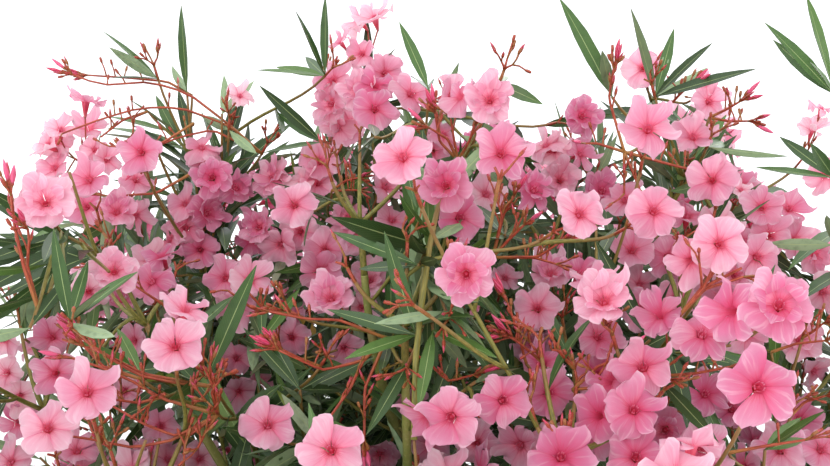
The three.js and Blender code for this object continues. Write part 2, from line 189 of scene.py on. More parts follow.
def place_masses():
    """The masses, ring by ring, with their middles on an egg that lies inside the crown."""
    reach = CROWN_REACH - MASS_HALF
    rise = CROWN_TOP - CROWN_MIDDLE - MASS_HALF
    root = np.array([0.0, 0.0, CROWN_MIDDLE - rise])
    masses = []
    for ring, row in enumerate(RINGS):
        latitude = math.radians(row["latitude"])
        for i in range(row["count"]):
            angle = row["turn"] + 360 / row["count"] * i
            angle += RING_UNEVEN["turn"] * sway(ring, i, DRAW["mass_turn"])
            height = CROWN_MIDDLE + rise * math.sin(latitude)
            height += RING_UNEVEN["rise"] * sway(ring, i, DRAW["mass_rise"])
            middle = around(angle, reach * math.cos(latitude), height)
            heading = unit(unit(middle - root) + MASS_LIFT * UP)
            foot = middle - MASS_FOOT * MASS_HALF * heading
            masses.append(dict(
                name=f"{row['name']}_{i + 1}", ring=ring, number=ring * 10 + i,
                angle=angle, heading=heading, foot=foot,
            ))
    return masses


def place_canes():
    """Each cane rises straight from the soil and leans out to its fork; the last is the leader."""
    canes = []
    for i in range(CANE_COUNT + 1):
        leader = i == CANE_COUNT
        angle = 360 / CANE_COUNT * i + CANE_UNEVEN["turn"] * sway(i, 0, DRAW["cane_turn"])
        lean = math.radians(0 if leader else CANE_LEAN)
        at = LEADER_FORK if leader else CANE_FORK
        base = around(angle, 0 if leader else CANE_CIRCLE, SOIL_TOP + SEAT_GAP)
        height = at["height"] + CANE_UNEVEN["rise"] * sway(i, 0, DRAW["cane_rise"])
        fork = around(angle, at["reach"], height)
        lean_turn = angle + CANE_UNEVEN["lean"] * sway(i, 0, DRAW["cane_lean"])
        heading = around(lean_turn, math.sin(lean), math.cos(lean))
        tip = fork + heading * KNUCKLE_RADIUS
        pull = np.linalg.norm(fork - base) / 3
        path = bend(base, base + UP * pull, tip - heading * pull, tip, CANE_STEPS)
        canes.append(dict(
            name=f"cane_{i + 1}", angle=angle, leader=leader, fork=fork, heading=heading, path=path,
        ))
    return canes


def place_boughs(cane, masses):
    """The boughs of one cane leave its fork in a whorl, as near as they can to the way that they go."""
    front = leaning(cane["heading"], 90, 0)
    side = np.cross(cane["heading"], front)

    def turn_of(mass):
        way = mass["foot"] - cane["fork"]
        return math.atan2(way @ side, way @ front)

    ordered = sorted(masses, key=turn_of)
    step = 2 * math.pi / len(ordered)
    off = [turn_of(mass) - i * step for i, mass in enumerate(ordered)]
    first = math.atan2(sum(map(math.sin, off)), sum(map(math.cos, off)))
    boughs = []
    for i, mass in enumerate(ordered):
        outward = turned(front, cane["heading"], math.degrees(first + i * step))
        tilt = math.radians(BOUGH_TILT)
        heading = cane["heading"] * math.cos(tilt) + outward * math.sin(tilt)
        start = cane["fork"] + heading * (KNUCKLE_RADIUS * SEAT_SHARE + SEAT_GAP)
        pull = np.linalg.norm(start - mass["foot"]) / 3
        end = mass["foot"]
        path = bend(start, start + heading * pull, end - mass["heading"] * pull, end, BOUGH_STEPS)
        boughs.append(dict(name=f"bough_{mass['name']}", ring=mass["ring"], path=path))
    return boughs


MASSES = place_masses()
CANES = place_canes()
BOUGHS = []
for mass in MASSES:
    ring_canes = [cane for cane in CANES if not cane["leader"]]
    nearest = min(ring_canes, key=lambda cane: abs((mass["angle"] - cane["angle"] + 540) % 360 - 180))
    mass["cane"] = CANES[-1] if mass["ring"] == 0 else nearest
for cane in CANES:
    BOUGHS += place_boughs(cane, [mass for mass in MASSES if mass["cane"] is cane])

farthest = max(
    np.linalg.norm(np.clip(bough["path"][-1], *map(np.array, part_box(bough["name"]))) - bough["path"][-1])
    for bough in BOUGHS
)
print(f"the rule's boughs end within {farthest * 1000:.2f} mm of the solids' boxes")

# %% [markdown]
# ## What the camera sees
#
# The photograph is a close view of the upper front of the crown. An open flower of this plant is about
# 49 mm across, so its width in the picture tells how far off it is. With the camera's height, pitch and
# focal length settled, each pictured head has one place in space, and a shoot can be grown to it.

# %% The camera's numbers, and places that the picture shows
PICTURE_WIDTH, PICTURE_HEIGHT = 830, 466
FOCAL_PIXELS = 1108
CAMERA_PLACE = np.array([0.0, -1.380, 1.165])
CAMERA_PITCH = 3
FLOWER_WIDTH = 0.049
NEAREST_DEPTH = 0.05
OUT_OF_VIEW = -1e3
CAMERA_RIGHT = np.array([1.0, 0.0, 0.0])
CAMERA_AHEAD = around(90, math.cos(math.radians(CAMERA_PITCH)), math.sin(math.radians(CAMERA_PITCH)))
CAMERA_UP = np.cross(CAMERA_RIGHT, CAMERA_AHEAD)


def place_seen(x, y, flower_pixels):
    """The place of a pixel at the distance where a flower is that many pixels wide."""
    depth = FOCAL_PIXELS * FLOWER_WIDTH / flower_pixels
    right = (x - PICTURE_WIDTH / 2) / FOCAL_PIXELS * depth
    rise = (PICTURE_HEIGHT / 2 - y) / FOCAL_PIXELS * depth
    return CAMERA_PLACE + depth * CAMERA_AHEAD + right * CAMERA_RIGHT + rise * CAMERA_UP


def pixel_of(places):
    """Pixel x, pixel y and distance of places."""
    way = places - CAMERA_PLACE
    depth = np.maximum(way @ CAMERA_AHEAD, NEAREST_DEPTH)
    x = PICTURE_WIDTH / 2 + FOCAL_PIXELS * (way @ CAMERA_RIGHT) / depth
    y = PICTURE_HEIGHT / 2 - FOCAL_PIXELS * (way @ CAMERA_UP) / depth
    return x, y, depth


# Flowers in the picture, as read off: pixel x, pixel y, width in pixels, and how deep a pink the
# flower is, from 0 to 15
SEEN_FLOWERS = [
    (86, 102, 38, 8), (61, 130, 34, 4), (48, 145, 36, 3), (55, 168, 40, 7), (45, 202, 58, 1),
    (89, 180, 46, 9), (95, 150, 30, 6), (86, 207, 38, 11), (107, 160, 30, 7), (141, 152, 46, 7),
    (136, 180, 34, 8), (116, 212, 42, 9), (136, 215, 36, 9), (202, 148, 36, 8), (212, 177, 42, 12),
    (236, 188, 38, 12), (186, 204, 38, 9), (207, 213, 40, 12), (186, 228, 36, 8), (270, 179, 38, 8),
    (240, 96, 26, 4), (259, 227, 36, 11), (375, 18, 38, 4), (341, 43, 24, 10), (362, 54, 32, 10),
    (333, 80, 38, 8), (359, 91, 42, 6), (385, 74, 40, 10), (375, 109, 44, 9), (331, 104, 38, 7),
    (338, 128, 38, 6), (411, 94, 42, 6), (351, 124, 36, 9), (403, 157, 62, 1), (385, 187, 40, 6),
    (451, 96, 42, 7), (490, 100, 50, 4), (444, 135, 36, 7), (446, 185, 52, 8), (460, 218, 50, 11),
    (501, 153, 56, 7), (534, 190, 46, 13), (486, 194, 44, 3), (320, 161, 40, 7), (294, 205, 46, 7),
    (274, 178, 36, 8), (303, 181, 36, 4), (318, 183, 34, 7), (348, 218, 40, 8), (392, 220, 38, 8),
    (546, 146, 38, 4), (300, 232, 40, 7), (325, 250, 42, 8), (281, 245, 38, 8), (355, 240, 38, 6),
    (582, 116, 42, 13), (643, 68, 40, 4), (648, 129, 54, 5), (709, 102, 38, 7), (705, 82, 26, 7),
    (693, 137, 46, 6), (712, 180, 50, 7), (580, 154, 34, 9), (554, 150, 36, 5), (602, 191, 40, 13),
    (580, 214, 56, 3), (654, 211, 56, 5), (687, 216, 44, 9), (720, 225, 46, 3), (762, 207, 42, 8),
    (789, 209, 40, 9), (741, 190, 24, 6), (812, 130, 30, 4), (825, 175, 40, 5), (821, 109, 26, 7),
    (560, 180, 40, 5), (625, 200, 42, 8), (770, 235, 42, 7), (795, 240, 40, 7), (152, 282, 44, 11),
    (114, 271, 50, 3), (150, 260, 38, 3), (89, 292, 42, 4), (123, 301, 32, 11), (225, 278, 42, 9),
    (250, 280, 44, 3), (236, 307, 42, 8), (175, 346, 58, 3), (52, 337, 40, 11), (55, 373, 48, 8),
    (87, 392, 60, 4), (48, 428, 56, 3), (20, 396, 34, 2), (7, 373, 34, 5), (18, 423, 40, 11),
    (182, 317, 36, 5), (134, 341, 36, 8), (125, 391, 34, 6), (237, 358, 36, 8), (239, 392, 36, 7),
    (268, 425, 54, 7), (168, 460, 40, 3), (200, 459, 38, 4), (136, 459, 38, 7), (77, 451, 44, 7),
    (11, 462, 44, 6), (161, 426, 36, 8), (5, 340, 34, 5), (200, 250, 38, 10), (170, 240, 38, 9),
    (466, 274, 62, 5), (538, 308, 48, 6), (551, 274, 44, 6), (534, 345, 40, 8), (331, 298, 50, 6),
    (361, 308, 36, 4), (320, 272, 42, 10), (370, 280, 40, 4), (292, 337, 38, 8), (344, 348, 36, 8),
    (451, 417, 60, 5), (503, 400, 58, 7), (549, 393, 52, 8), (477, 443, 48, 6), (331, 450, 66, 3),
    (411, 402, 34, 9), (555, 445, 50, 7), (505, 278, 34, 7), (430, 445, 44, 7), (520, 445, 50, 6),
    (380, 455, 40, 7), (604, 301, 58, 3), (580, 275, 48, 8), (598, 337, 50, 8), (720, 244, 58, 3),
    (668, 257, 44, 9), (757, 257, 48, 7), (779, 305, 72, 3), (702, 335, 58, 6), (745, 335, 46, 8),
    (643, 367, 58, 6), (634, 410, 60, 8), (705, 394, 50, 11), (759, 387, 74, 4), (561, 457, 60, 8),
    (636, 457, 60, 6), (702, 448, 56, 6), (732, 409, 44, 11), (821, 450, 48, 6), (814, 371, 38, 8),
    (823, 292, 42, 6), (675, 301, 44, 8), (721, 298, 42, 8), (755, 441, 40, 11), (640, 310, 44, 9),
    (690, 270, 42, 8), (632, 250, 44, 8), (735, 275, 42, 7), (800, 340, 44, 6), (665, 430, 50, 9),
    (780, 450, 50, 7), (600, 375, 50, 8), (595, 430, 54, 7), (800, 420, 44, 8), (640, 285, 42, 7),
    (815, 255, 40, 7),
]

# Leaves in the picture: the pixel and flower width where they spring, then the pixels of their tips
SEEN_LEAVES = [
    ((325, 76, 42), [(300, 18), (300, 48), (270, 60), (262, 74), (328, 0)]),
    ((322, 142, 42), [(270, 107), (262, 89), (258, 150)]),
    ((429, 90, 46), [(399, 17), (411, 63), (435, 70)]), ((499, 84, 48), [(512, 65), (530, 110)]),
    ((612, 97, 46), [(559, 2), (590, 60)]),
    ((655, 97, 46), [(680, 21), (696, 49), (748, 71), (717, 62), (627, 12)]),
    ((707, 147, 46), [(746, 136), (775, 162)]), ((158, 79, 40), [(112, 34), (125, 57), (130, 85)]),
    ((187, 92, 40), [(185, 10), (160, 60)]), ((222, 114, 40), [(218, 71), (245, 75)]),
    ((229, 130, 40), [(190, 110), (265, 160)]),
    ((834, 95, 50), [(758, 27), (784, 33), (788, 72), (797, 0)]),
    ((834, 178, 50), [(787, 150), (775, 164), (800, 130)]), ((834, 245, 50), [(790, 245), (800, 215)]),
    ((70, 322, 60), [(69, 231), (144, 266), (130, 280), (63, 264), (138, 335)]),
    ((30, 328, 58), [(47, 276), (7, 298), (-5, 335)]), ((141, 375, 50), [(171, 310), (100, 330)]),
    ((193, 331, 48), [(221, 300), (180, 290)]), ((207, 378, 50), [(219, 316), (259, 264), (200, 420)]),
    ((418, 265, 54), [(355, 271), (331, 232)]), ((416, 335, 54), [(385, 232), (350, 348), (325, 311)]),
    ((446, 311, 54), [(377, 316), (480, 340)]), ((433, 330, 54), [(418, 400), (470, 372), (492, 350)]),
    ((411, 358, 54), [(370, 424), (385, 410)]), ((432, 240, 52), [(400, 200), (480, 212)]),
    ((505, 235, 48), [(550, 212), (480, 200)]), ((375, 137, 50), [(369, 113), (350, 150)]),
    ((650, 340, 50), [(600, 240), (655, 280), (668, 330)]), ((660, 380, 54), [(700, 430), (690, 350)]),
    ((765, 450, 54), [(800, 400), (825, 425), (830, 450)]),
    ((300, 390, 50), [(240, 330), (262, 340), (340, 400)]),
    ((262, 340, 46), [(252, 285), (295, 290), (240, 310)]),
]

# The one yellow leaf
YELLOW_LEAF = ((402, 362, 54), (372, 384))

# Bare flower stalks in the picture: where they spring, then the pixels that each branch runs through
SEEN_STALKS = [
    ((386, 341, 52), [[(362, 363), (350, 389), (331, 415)], [(338, 321), (307, 319), (270, 311)],
                      [(362, 363), (322, 371), (281, 348)], [(364, 390), (364, 439)],
                      [(407, 350), (433, 367), (448, 380), (472, 372)]]),
    ((213, 419, 54), [[(157, 401), (134, 383), (106, 366), (80, 355)], [(174, 439), (145, 424), (113, 404)],
                      [(170, 443), (132, 449), (98, 437), (71, 430)], [(213, 391), (203, 365)],
                      [(210, 393), (222, 377)], [(183, 440), (183, 464)], [(204, 432), (197, 449)]]),
    ((211, 391, 52), [[(172, 384), (139, 376), (112, 357), (88, 335)],
                      [(139, 376), (104, 352), (66, 338)]]),
    ((157, 401, 54), [[(134, 406), (112, 399)]]), ((134, 383, 54), [[(100, 368), (84, 347)]]),
    ((300, 320, 50), [[(268, 313), (252, 309), (230, 290)], [(262, 310), (248, 292)]]),
    ((318, 370, 52), [[(298, 360), (282, 350)]]), ((165, 311, 46), [[(150, 298), (134, 286)]]),
    ((259, 152, 40), [[(229, 125), (188, 93), (152, 83), (107, 88), (80, 78)],
                      [(229, 125), (179, 107), (143, 109), (107, 121), (71, 136)],
                      [(211, 129), (179, 137), (150, 150)]]),
    ((188, 93, 40), [[(165, 80), (125, 77), (92, 77)]]),
    ((143, 109, 40), [[(131, 116), (132, 132)], [(120, 118), (100, 137)]]),
    ((189, 121, 42), [[(160, 142), (138, 147), (112, 147)]]), ((150, 142, 42), [[(140, 160)]]),
    ((189, 171, 42), [[(152, 193), (107, 196)]]),
    ((30, 319, 58), [[(19, 267), (13, 225), (16, 196)], [(19, 267), (30, 240), (33, 229)]]),
    ((629, 150, 48), [[(612, 96), (614, 68)], [(600, 142), (586, 143)], [(675, 164), (698, 171)],
                      [(627, 193)], [(643, 189)]]),
    ((686, 319, 58), [[(707, 289), (700, 275), (697, 262)], [(707, 289), (713, 270)],
                      [(707, 289), (720, 264)], [(707, 289), (742, 268)], [(710, 290), (745, 277)]]),
    ((716, 312, 58), [[(730, 304), (738, 302)]]), ((668, 380, 56), [[(700, 376), (732, 368)]]),
    ((600, 390, 56), [[(612, 384), (624, 383)]]), ((812, 340, 50), [[(818, 333), (825, 324)]]),
    ((529, 367, 52), [[(518, 330), (508, 303)], [(522, 345), (508, 336)]]),
    ((495, 257, 50), [[(503, 215), (495, 194)], [(505, 214), (514, 196)], [(510, 240), (524, 225)]]),
    ((495, 258, 50), [[(540, 257), (558, 244)], [(536, 258), (556, 264)]]),
    ((545, 365, 52), [[(530, 352), (513, 338)]]), ((578, 372, 56), [[(560, 352), (552, 350)]]),
    ((459, 159, 48), [[(455, 140), (451, 118)], [(470, 140), (475, 125)], [(440, 140), (435, 113)],
                      [(448, 138), (430, 128)]]),
    ((577, 394, 56), [[(600, 390), (621, 387)], [(600, 368), (621, 358)]]),
    ((671, 107, 46), [[(680, 95), (687, 88)]]),
    ((716, 115, 46), [[(730, 108), (739, 102)], [(733, 120), (748, 121)]]),
    ((330, 190, 42), [[(345, 180), (358, 178)], [(345, 190), (358, 190)]]),
    ((737, 459, 58), [[(770, 450), (807, 441)]]), ((566, 455, 60), [[(563, 444)], [(575, 440)]]),
    ((780, 355, 50), [[(800, 345), (822, 340)]]), ((800, 420, 50), [[(812, 405), (826, 396)]]),
]

# The olive stem in the middle of the picture
SEEN_STEM = [(414, 440, 56), (416, 345, 55), (424, 290, 54), (431, 235, 53), (440, 200, 51), (448, 182, 49)]

# The upper edge of foliage and blossom in the picture: pixel x, pixel y
SKYLINE = [
    (0, 185), (25, 180), (45, 130), (60, 95), (110, 80), (190, 92), (225, 120), (240, 85), (270, 140),
    (305, 140), (322, 80), (345, 32), (360, 0), (392, 0), (402, 60), (430, 82), (480, 68), (507, 78),
    (522, 112), (545, 132), (575, 100), (600, 102), (612, 125), (622, 60), (640, 46), (660, 56),
    (675, 100), (705, 72), (728, 88), (738, 150), (745, 182), (800, 195), (812, 235), (830, 240),
]


def above_skyline(places):
    """How many pixels places stand above the picture's upper edge of foliage, or less than 0."""
    x, y, _ = pixel_of(places)
    edge_x, edge_y = np.array(SKYLINE).T
    inside = (x > 0) & (x < PICTURE_WIDTH)
    return np.where(inside, np.interp(x, edge_x, edge_y) - y, OUT_OF_VIEW)


nearest = min(place_seen(*flower[:3])[1] for flower in SEEN_FLOWERS)
print(len(SEEN_FLOWERS), "pictured flowers, the nearest at", round(nearest, 3))

# %% [markdown]
# ## Meshes from arrays
#
# Thousands of leaves and petals would take minutes as separate objects. One array of points for all of
# them, and one mesh for each kind, takes a second. Each piece keeps a UV map of its own that stacks all
# its leaves or petals on a few tiles, one tile for each shade, so a pattern such as a midrib is drawn
# from the map alone and stays with its leaf.

# %% Joining grown shapes into one mesh
BAKE_MAP = "OFBake"
TILE_MARGIN = 0.03
random = np.random.default_rng(SEED)


def tile_map(local, tile, across):
    """Places on the UV map for local (u, v) from 0 to 1, on a tile of a square of tiles."""
    inside = TILE_MARGIN + (1 - 2 * TILE_MARGIN) * local
    corner = np.stack([tile % across, tile // across], -1)
    return (inside + corner.reshape(corner.shape[:-1] + (1,) * (local.ndim - corner.ndim) + (2,))) / across


def joined(shapes):
    """Several (points, triangles, corner map) shapes as one."""
    starts = np.cumsum([0] + [len(points) for points, _, _ in shapes[:-1]])
    points = np.concatenate([shape[0] for shape in shapes])
    triangles = np.concatenate([shape[1] + start for shape, start in zip(shapes, starts)])
    return points, triangles, np.concatenate([shape[2] for shape in shapes])


def piece(name, shape, material, nodes):
    """A joined shape as an object of the scene that rides on the plant and stands for its solids."""
    points, triangles, corner_map = shape
    mesh = bpy.data.meshes.new(name)
    mesh.from_pydata(points.tolist(), [], triangles.tolist())
    mesh.shade_smooth()
    layer = mesh.uv_layers.new(name=BAKE_MAP)
    layer.uv.foreach_set("vector", corner_map.astype(np.float32).ravel())
    mesh.materials.append(material)
    made = bpy.data.objects.new(name, mesh)
    bpy.context.scene.collection.objects.link(made)
    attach(made, "root")
    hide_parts(*nodes)
    print(name, len(mesh.polygons), "triangles")
    return made


def grid_shape(points, local, tile, across):
    """Many alike sheets, (many, rows, columns, 3), as one shape with two triangles to a cell."""
    many, rows, columns, _ = points.shape
    index = np.arange(many * rows * columns).reshape(many, rows, columns)
    a, b = index[:, :-1, :-1], index[:, :-1, 1:]
    c, d = index[:, 1:, 1:], index[:, 1:, :-1]
    triangles = np.stack([np.stack([a, b, c], -1), np.stack([a, c, d], -1)], 3).reshape(-1, 3)
    places = tile_map(np.broadcast_to(local, (many, rows, columns, 2)), tile, across)
    return points.reshape(-1, 3), triangles, places.reshape(-1, 2)[triangles]


def frames_along(paths):
    """The heading and two directions across it at each point of many paths, (many, steps, 3)."""
    along = unit(np.gradient(paths, axis=1))
    chord = unit(paths[:, -1] - paths[:, 0])
    least = np.eye(3)[np.abs(chord).argmin(1)]
    side = unit(np.cross(along, least[:, None]))
    return along, side, np.cross(along, side)


def tubes(paths, radii, sides, tile, across, swell=None):
    """Many closed tubes along paths, (many, steps, 3), with a radius at each step."""
    many, steps, _ = paths.shape
    _, side, front = frames_along(paths)
    angle = np.linspace(0, 2 * math.pi, sides + 1)
    ring = np.cos(angle)[:, None] * side[:, :, None] + np.sin(angle)[:, None] * front[:, :, None]
    wide = radii[:, :, None] * (1 if swell is None else swell)
    points = paths[:, :, None] + ring * (wide * np.ones(sides + 1))[..., None]
    points[:, :, -1] = points[:, :, 0]
    local = np.stack(np.meshgrid(angle / angle[-1], np.linspace(0, 1, steps)), -1)
    skin = grid_shape(points, local, tile, across)
    index = np.arange(many * steps * (sides + 1)).reshape(many, steps, sides + 1)
    fan = [(0, i, i + 1) for i in range(1, sides - 1)]
    foot = index[:, 0][:, np.array(fan)[:, ::-1]].reshape(-1, 3)
    tip = index[:, -1][:, np.array(fan)].reshape(-1, 3)
    caps = np.concatenate([foot, tip])
    map_of = np.empty((len(skin[0]), 2))
    map_of[skin[1]] = skin[2]
    return skin[0], np.concatenate([skin[1], caps]), np.concatenate([skin[2], map_of[caps]])


# %% [markdown]
# ## Finishes from nodes
#
# Every finish is a small tree of nodes. The helpers keep such a tree readable: one adds a node and fills
# its inputs in order, one mixes two colours, one draws noise, and one reads the tile map, as a place on
# the leaf or petal and as the tile's own shade.

# %% Helpers for node trees
def colour(code):
    """A screen colour such as #f6a0be as the linear numbers that shaders take."""
    screen = [int(code[i : i + 2], 16) / 255 for i in (1, 3, 5)]
    return [v / 12.92 if v <= 0.04045 else ((v + 0.055) / 1.055) ** 2.4 for v in screen] + [1.0]


def new_finish(name, roughness, **sockets):
    """A material with one plain shader, whose constant inputs are set on the shader itself."""
    material = bpy.data.materials.new(name)
    material.use_nodes = True
    shader = material.node_tree.nodes["Principled BSDF"]
    shader.inputs["Roughness"].default_value = roughness
    for socket, value in sockets.items():
        shader.inputs[socket.replace("_", " ")].default_value = value
    return material, material.node_tree, shader


def add(tree, kind, *inputs, out=0, **settings):
    """A new node's output. Inputs are numbers, lists or other outputs, in the node's order, or None."""
    node = tree.nodes.new("ShaderNode" + kind)
    for key, value in settings.items():
        setattr(node, key, value)
    for socket, value in zip(node.inputs, inputs):
        if isinstance(value, bpy.types.NodeSocket):
            tree.links.new(value, socket)
        elif value is not None:
            socket.default_value = value
    return node.outputs[out]


def times(tree, one, other):
    """Two values multiplied."""
    return add(tree, "Math", one, other, operation="MULTIPLY")


def mixed(tree, share, one, other):
    """Two colours mixed by a share."""
    return add(tree, "Mix", share, *[None] * 5, one, other, out=2, data_type="RGBA")


def noise(tree, place, scale, detail, roughness):
    """Soft noise at a place."""
    return add(tree, "TexNoise", place, None, scale, detail, roughness)


def stretched_noise(tree, place, stretch, detail, roughness):
    """Noise at (u, v, tile) with each of the three multiplied, so that it differs by tile."""
    parts = [times(tree, value, scale) for value, scale in zip(place, stretch)]
    return noise(tree, add(tree, "CombineXYZ", *parts), 1.0, detail, roughness)


def between(tree, value, low, high, to_low=0.0, to_high=1.0):
    """A value mapped from one range to another, smoothly and held at the ends."""
    return add(tree, "MapRange", value, low, high, to_low, to_high, interpolation_type="SMOOTHSTEP")


def ramp(tree, value, *stops):
    """A colour ramp with stops of (place, colour)."""
    output = add(tree, "ValToRGB", value)
    elements = output.node.color_ramp.elements
    while len(elements) < len(stops):
        elements.new(0.5)
    for element, (place, code) in zip(elements, stops):
        element.position = place
        element.color = colour(code)
    return output


def paint(tree, shader, tint):
    """The shader's own colour."""
    tree.links.new(tint, shader.inputs["Base Color"])


def bump(tree, shader, height, strength, distance):
    """Relief from a height."""
    relief = add(tree, "Bump", strength, distance, None, height)
    tree.links.new(relief, shader.inputs["Normal"])


def read_tiles(tree, across):
    """u and v on the leaf or petal, and the tile's number."""
    where = add(tree, "UVMap", uv_map=BAKE_MAP)
    scaled = add(tree, "VectorMath", where, [across, across, 0], operation="MULTIPLY")
    local = add(tree, "VectorMath", scaled, operation="FRACTION")
    whole = add(tree, "VectorMath", scaled, operation="FLOOR")
    u = add(tree, "SeparateXYZ", local)
    v = u.node.outputs[1]
    tile = add(tree, "VectorMath", whole, [1, across, 0], operation="DOT_PRODUCT", out=1)
    return u, v, tile


def from_middle(tree, u):
    """How far u lies from the middle of the leaf or petal."""
    return add(tree, "Math", add(tree, "Math", u, 0.5, operation="SUBTRACT"), operation="ABSOLUTE")


# %% [markdown]
# ## The pot
#
# A plant pot is thrown or pressed from red clay and fired without glaze: thick walls, a collar that
# stiffens the rim, soft edges, and faint rings from the turning. Spinning a profile is the natural way
# to make it. Salts from the water bloom on the outside as pale patches, and the foot stays darker.

# %% Turn the pot
POT_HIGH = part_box("pot")[1]
POT_RIM = POT_HIGH.x
POT_HEIGHT = POT_HIGH.z
POT_FOOT = 0.150
POT_WALL = 0.015
POT_FLOOR = 0.022
COLLAR_HEIGHT = 0.060
COLLAR_STEP = 0.011
POT_EDGE = 0.005
POT_GRAIN = 0.0045
POT_SEGMENTS = 96
RING_DEPTH = 0.0005
RING_PITCH = 0.014
DRAIN_COUNT, DRAIN_RADIUS, DRAIN_CIRCLE = 3, 0.009, 0.075
DRAIN_SIDES = 24
WELD_GAP = 1e-5


def rounded(corners, radius, steps=4):
    """A profile with its inner corners rounded, by cutting each corner with a small curve."""
    made = [corners[0]]
    for before, corner, after in zip(corners, corners[1:], corners[2:]):
        into, out = before - corner, after - corner
        cut = min(radius, np.linalg.norm(into) / 2.2, np.linalg.norm(out) / 2.2)
        start, end = corner + unit(into) * cut, corner + unit(out) * cut
        t = np.linspace(0, 1, steps + 1)[:, None]
        made += list((1 - t) ** 2 * start + 2 * t * (1 - t) * corner + t**2 * end)
    return np.array(made + [corners[-1]])


def filled(profile, step):
    """A profile with more points on its long stretches."""
    made = [profile[0]]
    for one, other in zip(profile, profile[1:]):
        count = max(1, round(np.linalg.norm(other - one) / step))
        made += [one + (other - one) * (i + 1) / count for i in range(count)]
    return np.array(made)


def turned_shape(profile, segments):
    """A (radius, height) profile, from the axis back to the axis, spun into a closed solid."""
    angle = np.linspace(2 * math.pi, 0, segments + 1)
    radius, height = profile[:, 0], profile[:, 1]
    x = radius * np.cos(angle)[:, None]
    y = radius * np.sin(angle)[:, None]
    points = np.stack([x, y, np.broadcast_to(height, x.shape)], -1)[None]
    length = np.cumsum(np.r_[0, np.linalg.norm(np.diff(profile, axis=0), axis=1)])
    local = np.stack(np.meshgrid(length / length[-1], angle / angle[0]), -1)
    return grid_shape(points, local, np.array([0]), 1)


def welded(made):
    """An object whose doubled seam and pole points are merged."""
    weld = made.modifiers.new("weld", "WELD")
    weld.merge_threshold = WELD_GAP
    apply_modifiers(made)


def apply_modifiers(made):
    """The object's mesh as its modifiers leave it."""
    graph = bpy.context.evaluated_depsgraph_get()
    mesh = bpy.data.meshes.new_from_object(made.evaluated_get(graph))
    made.modifiers.clear()
    made.data = mesh


def pot_profile():
    """From the middle of the underside, up the outside with its collar, and down the inside."""
    wall = POT_RIM - COLLAR_STEP
    inside = wall - POT_WALL
    collar = POT_HEIGHT - COLLAR_HEIGHT
    corners = [
        (0, 0), (POT_FOOT, 0), (wall, collar), (POT_RIM, collar), (POT_RIM, POT_HEIGHT),
        (inside, POT_HEIGHT), (POT_FOOT - POT_WALL, POT_FLOOR), (0, POT_FLOOR),
    ]
    profile = filled(rounded(np.array(corners, float), POT_EDGE), POT_GRAIN)
    rings = RING_DEPTH * np.sin(profile[:, 1] * 2 * math.pi / RING_PITCH)
    outside = (profile[:, 1] > POT_EDGE) & (profile[:, 1] < collar - POT_EDGE)
    profile[:, 0] -= np.where(outside, RING_DEPTH + rings, 0)
    return profile


clay, tree, shader = new_finish("fired_clay", 0.85, Specular_IOR_Level=0.25)
place = add(tree, "TexCoord", out=3)
height = add(tree, "SeparateXYZ", place, out=2)
cloud = noise(tree, place, 7.0, 5.0, 0.6)
grain = noise(tree, place, 240.0, 3.0, 0.6)
body = ramp(tree, cloud, (0.3, "#a8583a"), (0.55, "#b96a48"), (0.75, "#c67c59"))
speckled = mixed(tree, between(tree, grain, 0.55, 0.75, 0.0, 0.3), body, colour("#8d4a30"))
damp = mixed(tree, between(tree, height, 0.0, 0.12, 0.5, 0.0), speckled, colour("#7d4530"))
bloom = noise(tree, place, 11.0, 8.0, 0.65)
salty = times(tree, between(tree, bloom, 0.52, 0.72), between(tree, height, 0.05, 0.30))
paint(tree, shader, mixed(tree, times(tree, salty, 0.55), damp, colour("#d9c4b4")))
bump(tree, shader, grain, 0.35, 0.0006)

pot = piece("pot_clay", turned_shape(pot_profile(), POT_SEGMENTS), clay, ["pot"])
welded(pot)
for i in range(DRAIN_COUNT):
    x, y, _ = around(360 / DRAIN_COUNT * i + 90, DRAIN_CIRCLE, 0)
    bpy.ops.mesh.primitive_cylinder_add(
        vertices=DRAIN_SIDES, radius=DRAIN_RADIUS, depth=3 * POT_FLOOR, location=(x, y, 0),
    )
    drill = bpy.context.object
    hole = pot.modifiers.new("drain", "BOOLEAN")
    hole.operation, hole.object = "DIFFERENCE", drill
    apply_modifiers(pot)
    bpy.data.objects.remove(drill)
print("pot", round(POT_RIM * 2, 3), "m across its rim and", round(POT_HEIGHT, 3), "m tall")

# %% [markdown]
# ## The soil
#
# Potting soil is a dark, loose crumb of peat and bark with a few pale grains in it. A smooth disc would
# look like paint, so the surface is lifted and sunk by noise that depends on place alone, and crumbs of
# several sizes lie on it.

# %% Fill the pot and scatter crumbs
SOIL_CROWN = 0.010
SOIL_FLAT_RADIUS = 0.105
SOIL_GAP = 0.0006
SOIL_RELIEF = 0.0028
SOIL_LUMPS = (0.012, 0.005)
TOP_BAND = 0.004
CRUMB_COUNT = 900
CRUMB_MARGIN = 0.008
CRUMB_SIZES = (0.0015, 0.0060)
PALE_SHARE = 0.07
NOISE_WEIGHTS = np.array([127.1, 311.7, 74.7])


def lumps(places, size):
    """Smooth noise from -1 to 1 that depends on place alone, with lumps of about that size."""
    cell = np.floor(places / size)
    part = places / size - cell
    part = part * part * (3 - 2 * part)
    total = np.zeros(places.shape[:-1])
    for corner in np.ndindex(2, 2, 2):
        wave = np.sin((cell + corner) @ NOISE_WEIGHTS) * HASH_SCALE
        weight = np.prod(np.where(np.array(corner) == 1, part, 1 - part), axis=-1)
        total += weight * (2 * (wave - np.floor(wave)) - 1)
    return total


def pot_inside(height):
    """The radius of the pot's inside at a height."""
    top = POT_RIM - COLLAR_STEP - POT_WALL
    foot = POT_FOOT - POT_WALL
    return foot + (top - foot) * (height - POT_FLOOR) / (POT_HEIGHT - POT_FLOOR)


